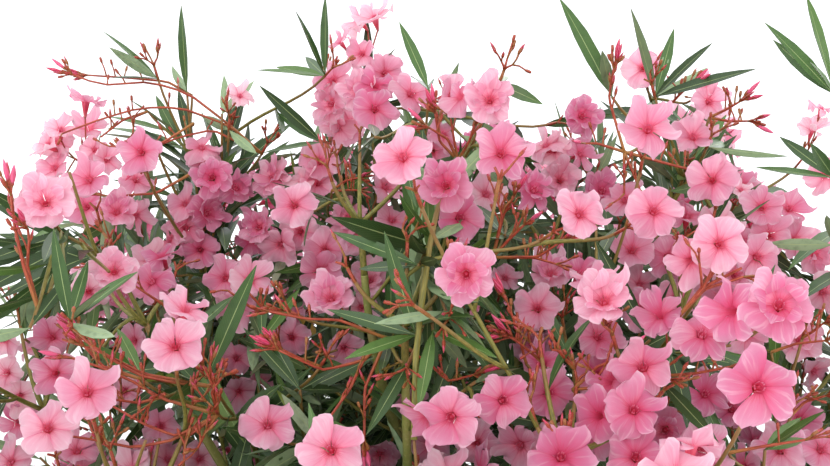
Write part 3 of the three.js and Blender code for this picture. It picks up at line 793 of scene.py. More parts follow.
def soil_shape():
    """A closed solid whose top is flat by the canes and lower at the wall, with relief on top."""
    foot, edge = POT_FLOOR + SEAT_GAP, SOIL_TOP - SOIL_CROWN
    corners = [
        (0, foot), (pot_inside(foot) - SOIL_GAP, foot), (pot_inside(edge) - SOIL_GAP, edge),
        (SOIL_FLAT_RADIUS, SOIL_TOP), (0, SOIL_TOP),
    ]
    outline = np.vstack([corners[:2], filled(np.array(corners[2:]), POT_GRAIN)])
    points, triangles, places = turned_shape(outline, POT_SEGMENTS)
    top = np.clip((points[:, 2] - edge + TOP_BAND / 2) / TOP_BAND, 0, 1)
    coarse, fine = (lumps(points, size) for size in SOIL_LUMPS)
    points[:, 2] += top * SOIL_RELIEF * (coarse + 0.6 * fine - 0.5)
    return points, triangles, places


def crumbs_shape():
    """Crumbs lying on the soil: octahedra with uneven corners, turned and stretched at random."""
    corner = np.array([(1, 0, 0), (0, 1, 0), (-1, 0, 0), (0, -1, 0), (0, 0, 1), (0, 0, -1)], float)
    upper = [(0, 1, 4), (1, 2, 4), (2, 3, 4), (3, 0, 4)]
    faces = np.array(upper + [(b, a, 5) for a, b, _ in upper])
    size = CRUMB_SIZES[0] + (CRUMB_SIZES[1] - CRUMB_SIZES[0]) * random.random(CRUMB_COUNT) ** 3
    reach = (pot_inside(SOIL_TOP) - CRUMB_MARGIN) * np.sqrt(random.random(CRUMB_COUNT))
    angle = 2 * math.pi * random.random(CRUMB_COUNT)
    drop = np.clip((reach - SOIL_FLAT_RADIUS) / (POT_FOOT - SOIL_FLAT_RADIUS), 0, 1) * SOIL_CROWN * 0.6
    middle = np.stack([reach * np.cos(angle), reach * np.sin(angle), SOIL_TOP - drop], -1)
    turns = np.linalg.qr(random.normal(size=(CRUMB_COUNT, 3, 3)))[0]
    stretch = 0.6 + 0.8 * random.random((CRUMB_COUNT, 1, 3))
    points = middle[:, None] + (corner * stretch * size[:, None, None] / 2) @ turns
    index = faces[None] + 6 * np.arange(CRUMB_COUNT)[:, None, None]
    tile = np.where(random.random(CRUMB_COUNT) < PALE_SHARE, 3, random.integers(0, 3, CRUMB_COUNT))
    local = np.broadcast_to(np.array([[0.2, 0.2], [0.8, 0.2], [0.5, 0.8]]), (CRUMB_COUNT, 8, 3, 2))
    return points.reshape(-1, 3), index.reshape(-1, 3), tile_map(local, tile, 2).reshape(-1, 3, 2)


earth, tree, shader = new_finish("potting_soil", 0.95, Specular_IOR_Level=0.2)
place = add(tree, "TexCoord", out=3)
fine = noise(tree, place, 320.0, 4.0, 0.7)
patch = noise(tree, place, 40.0, 4.0, 0.6)
dark = ramp(tree, fine, (0.35, "#1d130d"), (0.55, "#38271b"), (0.72, "#5a4330"))
dusty = mixed(tree, between(tree, patch, 0.5, 0.7, 0.0, 0.4), dark, colour("#6a543e"))
paint(tree, shader, dusty)
bump(tree, shader, fine, 0.8, 0.0015)
welded(piece("soil_surface", soil_shape(), earth, ["soil"]))

crumb, tree, shader = new_finish("soil_crumbs", 0.95, Specular_IOR_Level=0.2)
share = add(tree, "Math", read_tiles(tree, 2)[2], 3.0, operation="DIVIDE")
paint(tree, shader, ramp(
    tree, share, (0.0, "#24170f"), (0.34, "#463122"), (0.67, "#6b4e35"), (1.0, "#cfc8ba"),
))
crumbs = piece("soil_crumbs", crumbs_shape(), crumb, ["soil"])
crumbs.data.shade_flat()

# %% [markdown]
# ## Canes and boughs
#
# An oleander has no trunk: several canes rise from one root crown. Old wood is grey-brown with pale
# corky pores, and the boughs are still olive green. Leaves that have dropped leave a ring of scars at
# each node, and the wood is a little thicker there. A plain tube has none of this, so the radius is
# worked out point by point: taper, root flare, knuckle, node rings and uneven growth.

# %% Give the limbs their bark
CANE_RADII = (0.014, 0.0095)
CANE_FLARE = 0.7
FLARE_HEIGHT = 0.022
CANE_TIP_RADIUS = 0.003
KNUCKLE_SHARE = 0.97
BOUGH_RADII = (0.0066, 0.0041)
BOUGH_FLARE, BOUGH_FLARE_REACH = 0.35, 0.012
CANE_SIDES, BOUGH_SIDES = 20, 12
NODE_PITCH = 0.052
NODE_HEIGHT = 0.004
BARK_LUMPS = (0.018, 0.004)
LIMB_OVERLAP = 0.006
BOUGH_END_OVERLAP = 0.002


def distance_along(paths):
    """How far each point lies along its path."""
    steps = np.linalg.norm(np.diff(paths, axis=1), axis=2)
    return np.concatenate([np.zeros((len(paths), 1)), np.cumsum(steps, 1)], 1)


def extended(paths, before, after):
    """Paths with a point more at each end, so that a limb runs into what it grows on."""
    first = paths[:, :1] + unit(paths[:, :1] - paths[:, 1:2]) * before
    last = paths[:, -1:] + unit(paths[:, -1:] - paths[:, -2:-1]) * after
    return np.concatenate([first, paths, last], 1)


def bark_shape(paths, radii, sides, across, relief):
    """Limbs with node rings, ridges and lumps, each limb on a tile of its own."""
    along = distance_along(paths)
    _, side, front = frames_along(paths)
    angle = np.linspace(0, 2 * math.pi, sides + 1)[:-1]
    ring = np.cos(angle)[:, None] * side[:, :, None] + np.sin(angle)[:, None] * front[:, :, None]
    places = paths[:, :, None] + ring * radii[:, :, None, None]
    to_node = (along / NODE_PITCH + np.arange(len(paths))[:, None] * 0.37) % 1 - 0.5
    node = np.exp(-((to_node * NODE_PITCH / NODE_HEIGHT) ** 2))
    scar = 1 + np.cos(3 * angle + np.round(along / NODE_PITCH)[..., None] * math.pi / 3)
    coarse, fine = lumps(places, BARK_LUMPS[0]), lumps(places * [1, 1, 0.3], BARK_LUMPS[1])
    swell = 1 + relief * (0.5 * coarse + 0.35 * fine)
    swell += relief * node[..., None] * (0.5 + 0.5 * scar)
    swell = np.concatenate([swell, swell[:, :, :1]], 2)
    return tubes(paths, radii, sides, np.arange(len(paths)), across, swell)


def cane_radii(paths):
    """Even taper with a flare at the soil and a rounded knuckle at the fork."""
    along = distance_along(paths)
    length = along[:, -1:]
    limb = CANE_RADII[0] + (CANE_RADII[1] - CANE_RADII[0]) * along / length
    limb *= 1 + CANE_FLARE * np.exp(-along / FLARE_HEIGHT)
    from_fork = along - (length - KNUCKLE_RADIUS)
    knuckle = KNUCKLE_SHARE * np.sqrt(np.clip(KNUCKLE_RADIUS**2 - from_fork**2, 0, None))
    beyond = np.clip(from_fork / KNUCKLE_RADIUS, 0, 1)
    return np.maximum(np.maximum(limb * (1 - beyond), knuckle), CANE_TIP_RADIUS)


cane_paths = extended(np.array([cane["path"] for cane in CANES]), LIMB_OVERLAP, SEAT_GAP)
bough_paths = np.array([bough["path"] for bough in BOUGHS])
bough_paths = extended(bough_paths, LIMB_OVERLAP, BOUGH_END_OVERLAP)
bough_along = distance_along(bough_paths)
bough_radii = BOUGH_RADII[0] + (BOUGH_RADII[1] - BOUGH_RADII[0]) * bough_along / bough_along[:, -1:]
bough_radii *= 1 + BOUGH_FLARE * np.exp(-bough_along / BOUGH_FLARE_REACH)

bark, tree, shader = new_finish("cane_bark", 0.85, Specular_IOR_Level=0.3)
place = add(tree, "TexCoord", out=3)
tall = add(tree, "VectorMath", place, [1, 1, 0.18], operation="MULTIPLY")
streak = noise(tree, tall, 150.0, 4.0, 0.6)
cloud = noise(tree, place, 16.0, 4.0, 0.55)
squat = add(tree, "VectorMath", place, [1, 1, 1.8], operation="MULTIPLY")
pores = add(tree, "TexVoronoi", squat, None, 170.0)
wood = ramp(tree, streak, (0.32, "#4f4434"), (0.5, "#7b6d57"), (0.7, "#9d8f78"))
mossy = mixed(tree, between(tree, cloud, 0.45, 0.7, 0.0, 0.5), wood, colour("#6f6f4e"))
pored = mixed(tree, between(tree, pores, 0.24, 0.12, 0.0, 0.6), mossy, colour("#c3b79e"))
paint(tree, shader, pored)
height = add(tree, "Math", streak, between(tree, pores, 0.24, 0.1, 0.0, 0.5), operation="ADD")
bump(tree, shader, height, 0.6, 0.001)

green, tree, shader = new_finish("green_bark", 0.55, Specular_IOR_Level=0.4)
place = add(tree, "TexCoord", out=3)
streak = noise(tree, place, 220.0, 3.0, 0.6)
cloud = noise(tree, place, 22.0, 4.0, 0.55)
olive = ramp(tree, cloud, (0.35, "#6f7a3a"), (0.55, "#8a8c48"), (0.75, "#93805a"))
rubbed = mixed(tree, between(tree, streak, 0.5, 0.75, 0.0, 0.45), olive, colour("#b3a878"))
paint(tree, shader, rubbed)
bump(tree, shader, streak, 0.4, 0.0006)

cane_shape = bark_shape(cane_paths, cane_radii(cane_paths), CANE_SIDES, 3, 0.10)
welded(piece("cane_wood", cane_shape, bark, [cane["name"] for cane in CANES]))
bough_shape = bark_shape(bough_paths, bough_radii, BOUGH_SIDES, 5, 0.08)
welded(piece("bough_wood", bough_shape, green, [bough["name"] for bough in BOUGHS]))

# %% [markdown]
# ## Shoots
#
# Each mass forks into four shoots by the part's rule. Here those shoots fork once more, leafy shoots
# stand on the outer part of the boughs, and where the camera looks, shoots from the same forks bend to
# the heads, the leaf sprays and the bare stalks that the picture shows.

# %% Grow the shoots
STEM_LENGTH = 0.060
STEM_STEPS = 4
STEM_OVERLAP = 0.002
SHOOT_COUNT = 4
SHOOT_LENGTH = 0.160
SHOOT_TILT = 50
LEADING_TILT = 8
SHOOT_LIFT = 0.16
SHOOT_UNEVEN = {"tilt": 7, "length": 0.18}
SHOOT_RADII = (0.0029, 0.0019)
THIN_RADII = (0.0022, 0.0015)
SIDE_AT = (0.35, 0.62)
SIDE_LENGTH = 0.105
SIDE_TILT = 42
SIDE_BLOOM = 0.45
SIDE_LIFT = 0.2
BOUGH_SHOOTS_AT = (0.22, 0.32, 0.42, 0.50, 0.58, 0.66, 0.74, 0.82, 0.90)
BOUGH_SHOOT_LENGTH = 0.125
BOUGH_SHOOT_TILT = 48
BOUGH_SHOOT_LIFT = 0.25
MIDDLE_STEM_RADII = (0.0034, 0.0024)
VIEW_EDGE = 25
PICTURE_BACK = 0.15
SKY_MARGIN = 12
HEAD_SKY_MARGIN = 60
HELD_BACK = (0.55, 0.40, 0.30)
HELD_BEHIND = (0.0, 0.03, 0.06)
ALONG_TIP = np.linspace(0.2, 1.2, 8)[:, None]
BOUGH_SHOOT_HIDES = 2
HEAD_BEHIND = 0.055
HEAD_SPREAD = 0.060
HEAD_FULL = 8
FAR_PIXELS = 40
SPRING_NEAREST = 0.070
SPRING_BEHIND = 0.050
SPRING_CHOICES = 60
SPRINGS_ON_LIMB = 9
SPOT_COST = 0.12
SIDEWAYS_COST = 0.6
BEFORE_COST = 2.0
TOO_NEAR_COST = 10.0
GUARD_STEP = 8
GUARD_BEHIND = 0.01
GUARDED = {"flower": 0.52, "stem": 7, "leaf": 8, "stalk": 8, "yellow": 6}
FILLING_AT = (range(15, 830, 80), (340, 420))
PATH_STEPS = 8
STALK_BACK = 0.026
FULL_HEADS = {"top": (7, 11), "shoulder": (7, 11), "waist": (6, 10), "skirt": (1, 6)}
shoots, stems, springs = [], [], []


def note_springs(limb, first):
    """Notes the points of a limb's path where later shoots may spring."""
    path = limb["path"]
    headings = unit(np.gradient(path, axis=0))
    steps = range(first, len(path) - 1, max(1, len(path) // SPRINGS_ON_LIMB))
    springs.extend((path[i], headings[i], limb) for i in steps)


def grow(parent, start, leaving, tip, arriving, radii, flowers=0, seen=None, bare=0.0, carries=False):
    """Adds a shoot that leaves its start on a parent one way and comes to its tip another way."""
    pull = np.linalg.norm(tip - start) / 3
    path = bend(start, start + leaving * pull, tip - arriving * pull, tip, PATH_STEPS)
    shoots.append(dict(
        ring=parent["ring"], number=len(shoots), path=path, radii=radii, heading=arriving,
        flowers=flowers, seen=seen, bare=bare, carries=carries or flowers > 0, spent=False,
    ))
    parent["carries"] = True
    note_springs(shoots[-1], 2)
    return shoots[-1]


def taken_by_picture(tip):
    """Whether a tip stands in the front of the view, where the picture says what grows, or in its sky."""
    x, y, _ = pixel_of(tip)
    inside = -VIEW_EDGE < x < PICTURE_WIDTH + VIEW_EDGE and -VIEW_EDGE < y < PICTURE_HEIGHT + VIEW_EDGE
    return bool(inside and tip[1] < PICTURE_BACK) or above_skyline(tip) > -SKY_MARGIN


def open_flowers(ring, tip):
    """A number of open flowers for a head of this ring, or 0 near the edge that the picture shows."""
    low, high = FULL_HEADS[RINGS[ring]["name"]]
    return 0 if above_skyline(tip) > -HEAD_SKY_MARGIN else int(random.integers(low, high + 1))


def held_back(fork, tip):
    """A tip nearer to its fork and farther from the camera, where the shoot hides least of the picture."""
    tips = [
        fork + (tip - fork) * share + CAMERA_AHEAD * behind
        for share in HELD_BACK for behind in HELD_BEHIND
    ]
    return min(tips, key=lambda one: covers_a_spot(fork + (one - fork) * ALONG_TIP, SPOTS).sum())


def grow_mass(mass):
    """The four shoots of the part's rule, each with side shoots."""
    fork = mass["foot"] + mass["heading"] * STEM_LENGTH
    end = fork + mass["heading"] * STEM_OVERLAP
    stems.append(dict(ring=mass["ring"], path=bend(mass["foot"], mass["foot"], fork, end, STEM_STEPS)))
    number = mass["number"]
    for i in range(SHOOT_COUNT):
        tilt = SHOOT_TILT if i else LEADING_TILT
        tilt = tilt + SHOOT_UNEVEN["tilt"] * sway(number, i, DRAW["shoot_tilt"])
        turn = 360 / (SHOOT_COUNT - 1) * i + 360 * chance(number, 0, DRAW["shoot_turn"])
        length = SHOOT_LENGTH * (1 + SHOOT_UNEVEN["length"] * sway(number, i, DRAW["shoot_length"]))
        leaving = leaning(mass["heading"], tilt, turn)
        tip = fork + leaving * length + UP * SHOOT_LIFT * length
        flowers = open_flowers(mass["ring"], tip)
        taken = taken_by_picture(tip)
        if taken:
            tip, flowers = held_back(fork, tip), 0
        if above_skyline(tip) > -SKY_MARGIN:
            continue
        arriving = unit(tip - fork + 0.3 * length * UP)
        shoot = grow(mass, fork, leaving, tip, arriving, SHOOT_RADII, flowers, carries=taken)
        shoot["spent"] = taken
        if flowers:
            grow_sides(shoot, SIDE_LENGTH)


def grow_sides(shoot, length):
    """Side shoots of one shoot, some of which bloom."""
    path = shoot["path"]
    for at in SIDE_AT:
        step = int(at * PATH_STEPS)
        heading = unit(path[step + 1] - path[step])
        leaving = leaning(heading, SIDE_TILT + random.normal() * 6, random.random() * 360)
        reach = length * (0.85 + 0.3 * random.random())
        tip = path[step] + leaving * reach + UP * SIDE_LIFT * reach
        if above_skyline(tip) > -SKY_MARGIN:
            continue
        blooms = random.random() < SIDE_BLOOM and not taken_by_picture(tip)
        flowers = open_flowers(shoot["ring"], tip) // 2 if blooms else 0
        grow(shoot, path[step], leaving, tip, unit(tip - path[step]), THIN_RADII, flowers)


def grow_on_bough(bough):
    """Leafy shoots on the outer part of a bough."""
    path = bough["path"]
    for at in BOUGH_SHOOTS_AT:
        step = int(at * (len(path) - 2))
        heading = unit(path[step + 1] - path[step])
        reach = BOUGH_SHOOT_LENGTH * (0.8 + 0.4 * random.random())
        tilt, turn = BOUGH_SHOOT_TILT + random.normal() * 8, random.random() * 360
        ways = [leaning(heading, tilt, turn + 120 * i) for i in range(3)]
        lines = [path[step] + (way + BOUGH_SHOOT_LIFT * UP) * reach * ALONG_TIP for way in ways]
        hidden = [covers_a_spot(line, SPOTS).sum() for line in lines]
        leaving = ways[int(np.argmin(hidden))]
        tip = path[step] + (leaving + BOUGH_SHOOT_LIFT * UP) * reach
        if min(hidden) < BOUGH_SHOOT_HIDES and above_skyline(tip) < -SKY_MARGIN:
            grow(bough, path[step], leaving, tip, unit(tip - path[step]), THIN_RADII)


def along_pixels(start, *ends):
    """Pixels every few pixels along a line of pixels."""
    line = np.array([start[:2], *ends], float)
    along = distance_along(line[None])[0]
    at = np.arange(0, along[-1], GUARD_STEP)
    return zip(np.interp(at, along, line[:, 0]), np.interp(at, along, line[:, 1]))


def guarded_spots():
    """Spots to keep in view: pixel x, pixel y, reach in pixels, and the distance from the camera."""
    spots = [
        (x, y, GUARDED["flower"] * pixels, max(pixels, FAR_PIXELS)) for x, y, pixels, _ in SEEN_FLOWERS
    ]
    lines = [("stem", SEEN_STEM[0], [at[:2] for at in SEEN_STEM[1:]])]
    lines += [("leaf", root, [tip]) for root, tips in SEEN_LEAVES for tip in tips]
    lines += [("stalk", root, branch) for root, branches in SEEN_STALKS for branch in branches]
    lines += [("yellow", YELLOW_LEAF[0], [YELLOW_LEAF[1]])]
    for kind, root, ends in lines:
        spots += [(x, y, GUARDED[kind], root[2]) for x, y in along_pixels(root, *ends)]
    spots = np.array(spots)
    spots[:, 3] = FOCAL_PIXELS * FLOWER_WIDTH / spots[:, 3] + GUARD_BEHIND
    return spots


def covers_a_spot(places, spots):
    """Whether each place lies in front of a guarded spot."""
    x, y, depth = (column[:, None] for column in pixel_of(places))
    spot_x, spot_y, reach, distance = spots.T
    return ((depth < distance) & (np.hypot(x - spot_x, y - spot_y) < reach)).any(1)


def grow_towards(place, lift=0.3, to_camera=0.3, behind=0.0, radii=THIN_RADII, **more):
    """A shoot from the limb that suits best, which arrives from behind at a place in the picture."""
    points, headings = (np.array(column) for column in list(zip(*springs))[:2])
    gap = np.linalg.norm(place - points, axis=1)
    ways = (place - points) / gap[:, None]
    agree = (ways * headings).sum(1)
    before = np.clip(SPRING_BEHIND - (points - place) @ CAMERA_AHEAD, 0, None)
    sideways = np.abs(points[:, 0] - place[0])
    cost = gap * (1.3 - 0.5 * agree) + BEFORE_COST * before + SIDEWAYS_COST * sideways
    cost += TOO_NEAR_COST * (gap < SPRING_NEAREST)
    choices = []
    for best in cost.argsort()[:SPRING_CHOICES]:
        start, way = points[best], ways[best]
        arriving = unit(way + to_camera * unit(CAMERA_PLACE - place) + lift * UP)
        leaving = unit(way + 0.7 * headings[best] + 0.5 * CAMERA_AHEAD)
        tip = place - arriving * behind
        pull = np.linalg.norm(tip - start) / 3
        path = bend(start, start + leaving * pull, tip - arriving * pull, tip, 2 * PATH_STEPS)
        hides = covers_a_spot(path[:-2], SPOTS).sum()
        choices.append((cost[best] + SPOT_COST * hides, best, leaving, tip, arriving))
    _, best, leaving, tip, arriving = min(choices, key=lambda choice: choice[0])
    return grow(springs[best][2], points[best], leaving, tip, arriving, radii, **more)


def pictured_heads():
    """The pictured flowers, with those that stand close together in one head."""
    heads = []
    for x, y, pixels, tone in SEEN_FLOWERS:
        place = place_seen(x, y, max(pixels, FAR_PIXELS))
        flower = dict(place=place, size=min(pixels / FAR_PIXELS, 1), tone=tone, pixels=pixels)
        close = [
            head for head in heads
            if len(head) < HEAD_FULL
            and np.linalg.norm(np.mean([one["place"] for one in head], 0) - place) < HEAD_SPREAD
        ]
        close[0].append(flower) if close else heads.append([flower])
    return heads


def smooth_path(points, steps):
    """A path of even steps that runs through points and rounds them."""
    points = np.array(points)
    along = distance_along(points[None])[0]
    at = np.linspace(0, along[-1], 4 * steps + 1)
    path = np.stack([np.interp(at, along, points[:, i]) for i in range(3)], -1)
    for _ in range(3):
        path[1:-1] = (path[:-2] + 2 * path[1:-1] + path[2:]) / 4
    return path[::4]


SPOTS = guarded_spots()
OPEN_FACES = SPOTS[:len(SEEN_FLOWERS)] * [1, 1, 0.6, 1]
for mass in MASSES:
    grow_mass(mass)
for bough in BOUGHS:
    note_springs(bough, len(bough["path"]) // 3)
    grow_on_bough(bough)
for head in pictured_heads():
    middle = np.mean([flower["place"] for flower in head], 0)
    shoot = grow_towards(middle, 0.3, 0.8, HEAD_BEHIND, flowers=len(head), seen=head, bare=0.3)
    if np.linalg.norm(shoot["path"][-1] - shoot["path"][0]) > SHOOT_LENGTH:
        grow_sides(shoot, SIDE_LENGTH * 0.8)

stem_places = [place_seen(*pixel) for pixel in SEEN_STEM]
stem = grow_towards(stem_places[0], lift=0.8, carries=True)
shoots.append(dict(stem, path=smooth_path(stem_places, PATH_STEPS), heading=UP, radii=MIDDLE_STEM_RADII))
sprays = []
for root, tips in SEEN_LEAVES:
    sprays.append((grow_towards(place_seen(*root), bare=0.15, carries=True), root, tips))
for x in FILLING_AT[0]:
    for y in FILLING_AT[1]:
        spot = (x + random.normal() * 16, y + random.normal() * 14)
        grow_towards(place_seen(*spot, FAR_PIXELS * (0.85 + 0.25 * random.random())))
bare_stalks = []
for root, branches in SEEN_STALKS:
    shoot = grow_towards(place_seen(*root) + CAMERA_AHEAD * STALK_BACK, bare=0.3, carries=True)
    bare_stalks.append((shoot, root, branches))
print(len(shoots), "shoots, of which", sum(shoot["flowers"] > 0 for shoot in shoots), "bloom")

# %% [markdown]
# ## Flower heads
#
# Each shoot ends in an open head. A short red stalk forks into three rays, the rays into flower stalks,
# and each flower stands with its tube on a small calyx. The mouths of a head lie on a cap, as far apart
# as the flowers need, so the head's reach grows with the square root of their number. Crimson buds stand
# between and beyond them. Where a head has finished, only its branched stalk is left.

# %% Lay out the heads
HEAD_REACH = (0.012, 0.0115)
FLOWER_ROOM = 0.00199
TUBE_LENGTH = 0.020
PEDUNCLE_LENGTH = 0.016
PEDUNCLE_RADII, RAY_RADII = (0.0019, 0.0016), (0.0014, 0.0011)
PEDICEL_RADII, TAIL_RADII = (0.0010, 0.0010), (0.0010, 0.0008)
BRANCH_RADII = (0.0018, 0.0011)
RAY_LENGTH, RAY_TILT = 0.012, 34
BUD_COUNTS = (2, 6)
BUD_BEYOND = (0.002, 0.014)
BUD_LENGTHS = (0.011, 0.020)
SMALL_BUD = 0.0090
SPENT_SHARE = 0.30
DOUBLE_SHARE = 0.22
DOUBLE_TONE = 12
PETAL_SHADES = 16
BACKING_SHARE = 0.16
# Painted light and shade: tone steps for each pixel of a flower's width, deeper for near flowers, paler for
# far ones
PAINTED_LIGHT_BY_NEARNESS = 0.20
USUAL_PIXELS = 47
WIDE_PIXELS = 44
PICTURED_SIZE = (0.98, 0.96)
STALK_STEPS, BRANCH_STEPS = 2, 12
DISH_HEIGHTS = (-0.009, 0.016)
DISH_REACH = 0.0245
PAST_BOX = 0.014
flowers, stalks, branches_bare, calyces, buds, tails = [], [], [], [], [], []


def mild(size=None):
    """Normal draws without their far tails."""
    return np.clip(random.normal(size=size), -1.6, 1.6)


def cap_ways(facing, count, spread):
    """Ways that lie evenly on a cap about the way a head faces, by the golden angle."""
    share = (np.arange(count) + 0.5) / count
    tilt = np.degrees(np.arccos(1 - share * (1 - math.cos(math.radians(spread)))))
    start = random.random() * 360
    return [leaning(facing, tilt[i] + random.normal() * 5, start + 137.5 * i) for i in range(count)]


def stalk(ring, start, leaving, end, arriving, radii):
    """A thin stalk that leaves and arrives by headings."""
    pull = np.linalg.norm(end - start) / 3
    path = bend(start, start + leaving * pull, end - arriving * pull, end, STALK_STEPS)
    stalks.append((ring, path, np.linspace(*radii, STALK_STEPS + 1)))


def rays(ring, tip, heading):
    """The red stalk at a shoot's end and its three rays, whose ends it returns."""
    hub = tip + heading * PEDUNCLE_LENGTH
    stalk(ring, tip - heading * 0.002, heading, hub, heading, PEDUNCLE_RADII)
    turn = random.random() * 360
    ends = []
    for i in range(3):
        way = leaning(heading, RAY_TILT, turn + 120 * i)
        ends.append((hub + way * RAY_LENGTH, way))
        stalk(ring, hub - way * 0.001, heading, ends[-1][0], way, RAY_RADII)
    return ends


def nearest_end(ends, place):
    """The ray end that lies nearest to a place."""
    return min(ends, key=lambda end: np.linalg.norm(end[0] - place))


def grow_tail(ring, ends, foot, way, length=0.0):
    """A short stalk that ends in a calyx, and in a bud where a length is given."""
    end, heading = nearest_end(ends, foot)
    if not covers_a_spot(np.array([foot, foot + way * length]), OPEN_FACES).any():
        tails.append((ring, end, heading, foot, way, length))


def grow_bud(ring, ends, place, way, length):
    """One bud on its own stalk, with its middle at a place."""
    grow_tail(ring, ends, place - way * length / 2, way, length)


def grow_scars(ring, ends, count):
    """Short stalks of flowers that have dropped, some with a small bud."""
    for end, way in ends:
        for _ in range(count):
            out = leaning(way, 24 + random.normal() * 9, random.random() * 360)
            foot = end + out * (0.007 + 0.013 * random.random())
            length = SMALL_BUD * (0.8 + 0.5 * random.random()) if random.random() < 0.55 else 0.0
            grow_tail(ring, [(end, way)], foot, out, length)


def grow_flower(ring, ends, mouth, axis, size, opened, tone, fine, double):
    """One flower, with its calyx and its stalk, where it stays near the solids' box."""
    low, high = np.array(CAD_BOX)
    if (mouth < low - PAST_BOX).any() or (mouth > high + PAST_BOX).any():
        return
    foot = mouth - axis * TUBE_LENGTH * size
    end, ray = nearest_end(ends, foot)
    stalk(ring, end, ray, foot, axis, PEDICEL_RADII)
    calyces.append((ring, foot, axis))
    shade = int(np.clip(round(tone), 0, PETAL_SHADES - 1))
    flowers.append((ring, mouth, axis, size, opened, shade, fine, double))


def grow_pictured_head(shoot):
    """The flowers that the picture shows, each turned partly to the camera and partly out of its head."""
    ring, tip = shoot["ring"], shoot["path"][-1]
    ends = rays(ring, tip, shoot["heading"])
    for seen in shoot["seen"]:
        to_camera = unit(CAMERA_PLACE - seen["place"])
        frontal = np.clip(0.35 + 0.045 * (seen["pixels"] - 40), 0.25, 1.4)
        outward = 0.8 * unit(seen["place"] - tip)
        axis = unit(frontal * to_camera + outward + 0.1 * UP + 0.26 * mild(3))
        opened = 0.10 + 0.60 * random.random()
        # Painted light and shade: flowers wider than usual in the picture, at the front, are painted a
        # deeper pink. Narrower ones, deeper in the crown, are painted a paler pink. This evens out the
        # light between them.
        tone = seen["tone"] + PAINTED_LIGHT_BY_NEARNESS * (seen["pixels"] - USUAL_PIXELS) + random.normal() * 0.7
        double = seen["tone"] >= DOUBLE_TONE or random.random() < DOUBLE_SHARE * 0.6
        size = seen["size"] * PICTURED_SIZE[seen["pixels"] > WIDE_PIXELS]
        grow_flower(ring, ends, seen["place"], axis, size, opened, tone, True, double)
        if random.random() < BACKING_SHARE:
            aside = leaning(axis, 90, random.random() * 360)
            sideways = aside * (0.018 + 0.018 * random.random())
            deeper = CAMERA_AHEAD * (0.022 + 0.02 * random.random())
            place = seen["place"] + sideways + deeper
            if above_skyline(place) < -SKY_MARGIN:
                axis = unit(axis + 0.7 * aside + 0.2 * random.normal(size=3))
                opened = 0.2 + 0.5 * random.random()
                grow_flower(ring, ends, place, axis, 0.9, opened, tone + 1.5, False, False)
    if len(shoot["seen"]) > 1:
        grow_scars(ring, ends, 2)


def grow_head(shoot):
    """The flowers of one shoot that blooms, where the picture doesn't say."""
    ring, heading, count, tip = shoot["ring"], shoot["heading"], shoot["flowers"], shoot["path"][-1]
    ends = rays(ring, tip, heading)
    reach = HEAD_REACH[0] + HEAD_REACH[1] * count**0.5
    outward = unit(tip * [1, 1, 0] + [1e-6, 0, 0])
    facing = unit(heading + 0.4 * outward + 0.25 * UP)
    middle = tip + heading * (HEAD_BEHIND - 0.010 - 0.3 * reach)
    spread = math.degrees(math.acos(max(1 - FLOWER_ROOM * count / (2 * math.pi * reach**2), -0.4)))
    tone = 6.5 + random.normal() * 1.8
    for way in cap_ways(facing, count, spread):
        axis = unit(way + 0.14 * random.normal(size=3) + 0.18 * UP)
        size = 0.88 + 0.18 * random.random()
        opened = 0.08 + 0.7 * random.random() ** 1.5
        own = tone + random.normal() * 2.2
        double = random.random() < DOUBLE_SHARE
        grow_flower(ring, ends, middle + way * reach, axis, size, opened, own, False, double)
    for way in cap_ways(facing, int(random.integers(*BUD_COUNTS)), 85):
        beyond = BUD_BEYOND[0] + (BUD_BEYOND[1] - BUD_BEYOND[0]) * random.random()
        length = BUD_LENGTHS[0] + (BUD_LENGTHS[1] - BUD_LENGTHS[0]) * random.random()
        grow_bud(ring, ends, middle + way * (reach + beyond), unit(way + 0.2 * UP), length)
    grow_scars(ring, ends, 1)


def grow_bare_stalks(shoot, pixel, branches):
    """Long stalks that run through pixels of the picture and end in a few buds."""
    ring, start = shoot["ring"], shoot["path"][-1]
    for branch in branches:
        points = [start]
        for step, at in enumerate(branch):
            nearer = 0.012 * (step + 1) - STALK_BACK + 0.003 * random.normal()
            points.append(place_seen(*at, pixel[2]) - CAMERA_AHEAD * nearer)
        path = smooth_path(points, BRANCH_STEPS)
        branches_bare.append((ring, path, np.linspace(*BRANCH_RADII, BRANCH_STEPS + 1)))
        heading = unit(path[-1] - path[-2])
        ends = [(path[-1], leaning(heading, 16, 120 * i + 360 * random.random())) for i in range(3)]
        grow_scars(ring, ends, 2)
        for step in (6, 8, 9, 10):
            grow_scars(ring, [(path[step], unit(path[step + 1] - path[step] + 0.2 * UP))], 1)
        for way in cap_ways(heading, 2, 24):
            grow_bud(ring, ends, path[-1] + way * 0.021, way, BUD_LENGTHS[1])


def in_flowers(points):
    """Whether any point of each row, (many, steps, 3), stands in the dish of an open flower."""
    hit = np.zeros(len(points), bool)
    for _, mouth, axis, size, *_ in flowers:
        off = points - mouth
        height = off @ axis
        reach = np.linalg.norm(off - height[..., None] * axis, axis=-1)
        low, high = DISH_HEIGHTS
        hit |= ((height > low * size) & (height < high * size) & (reach < DISH_REACH * size)).any(-1)
    return hit


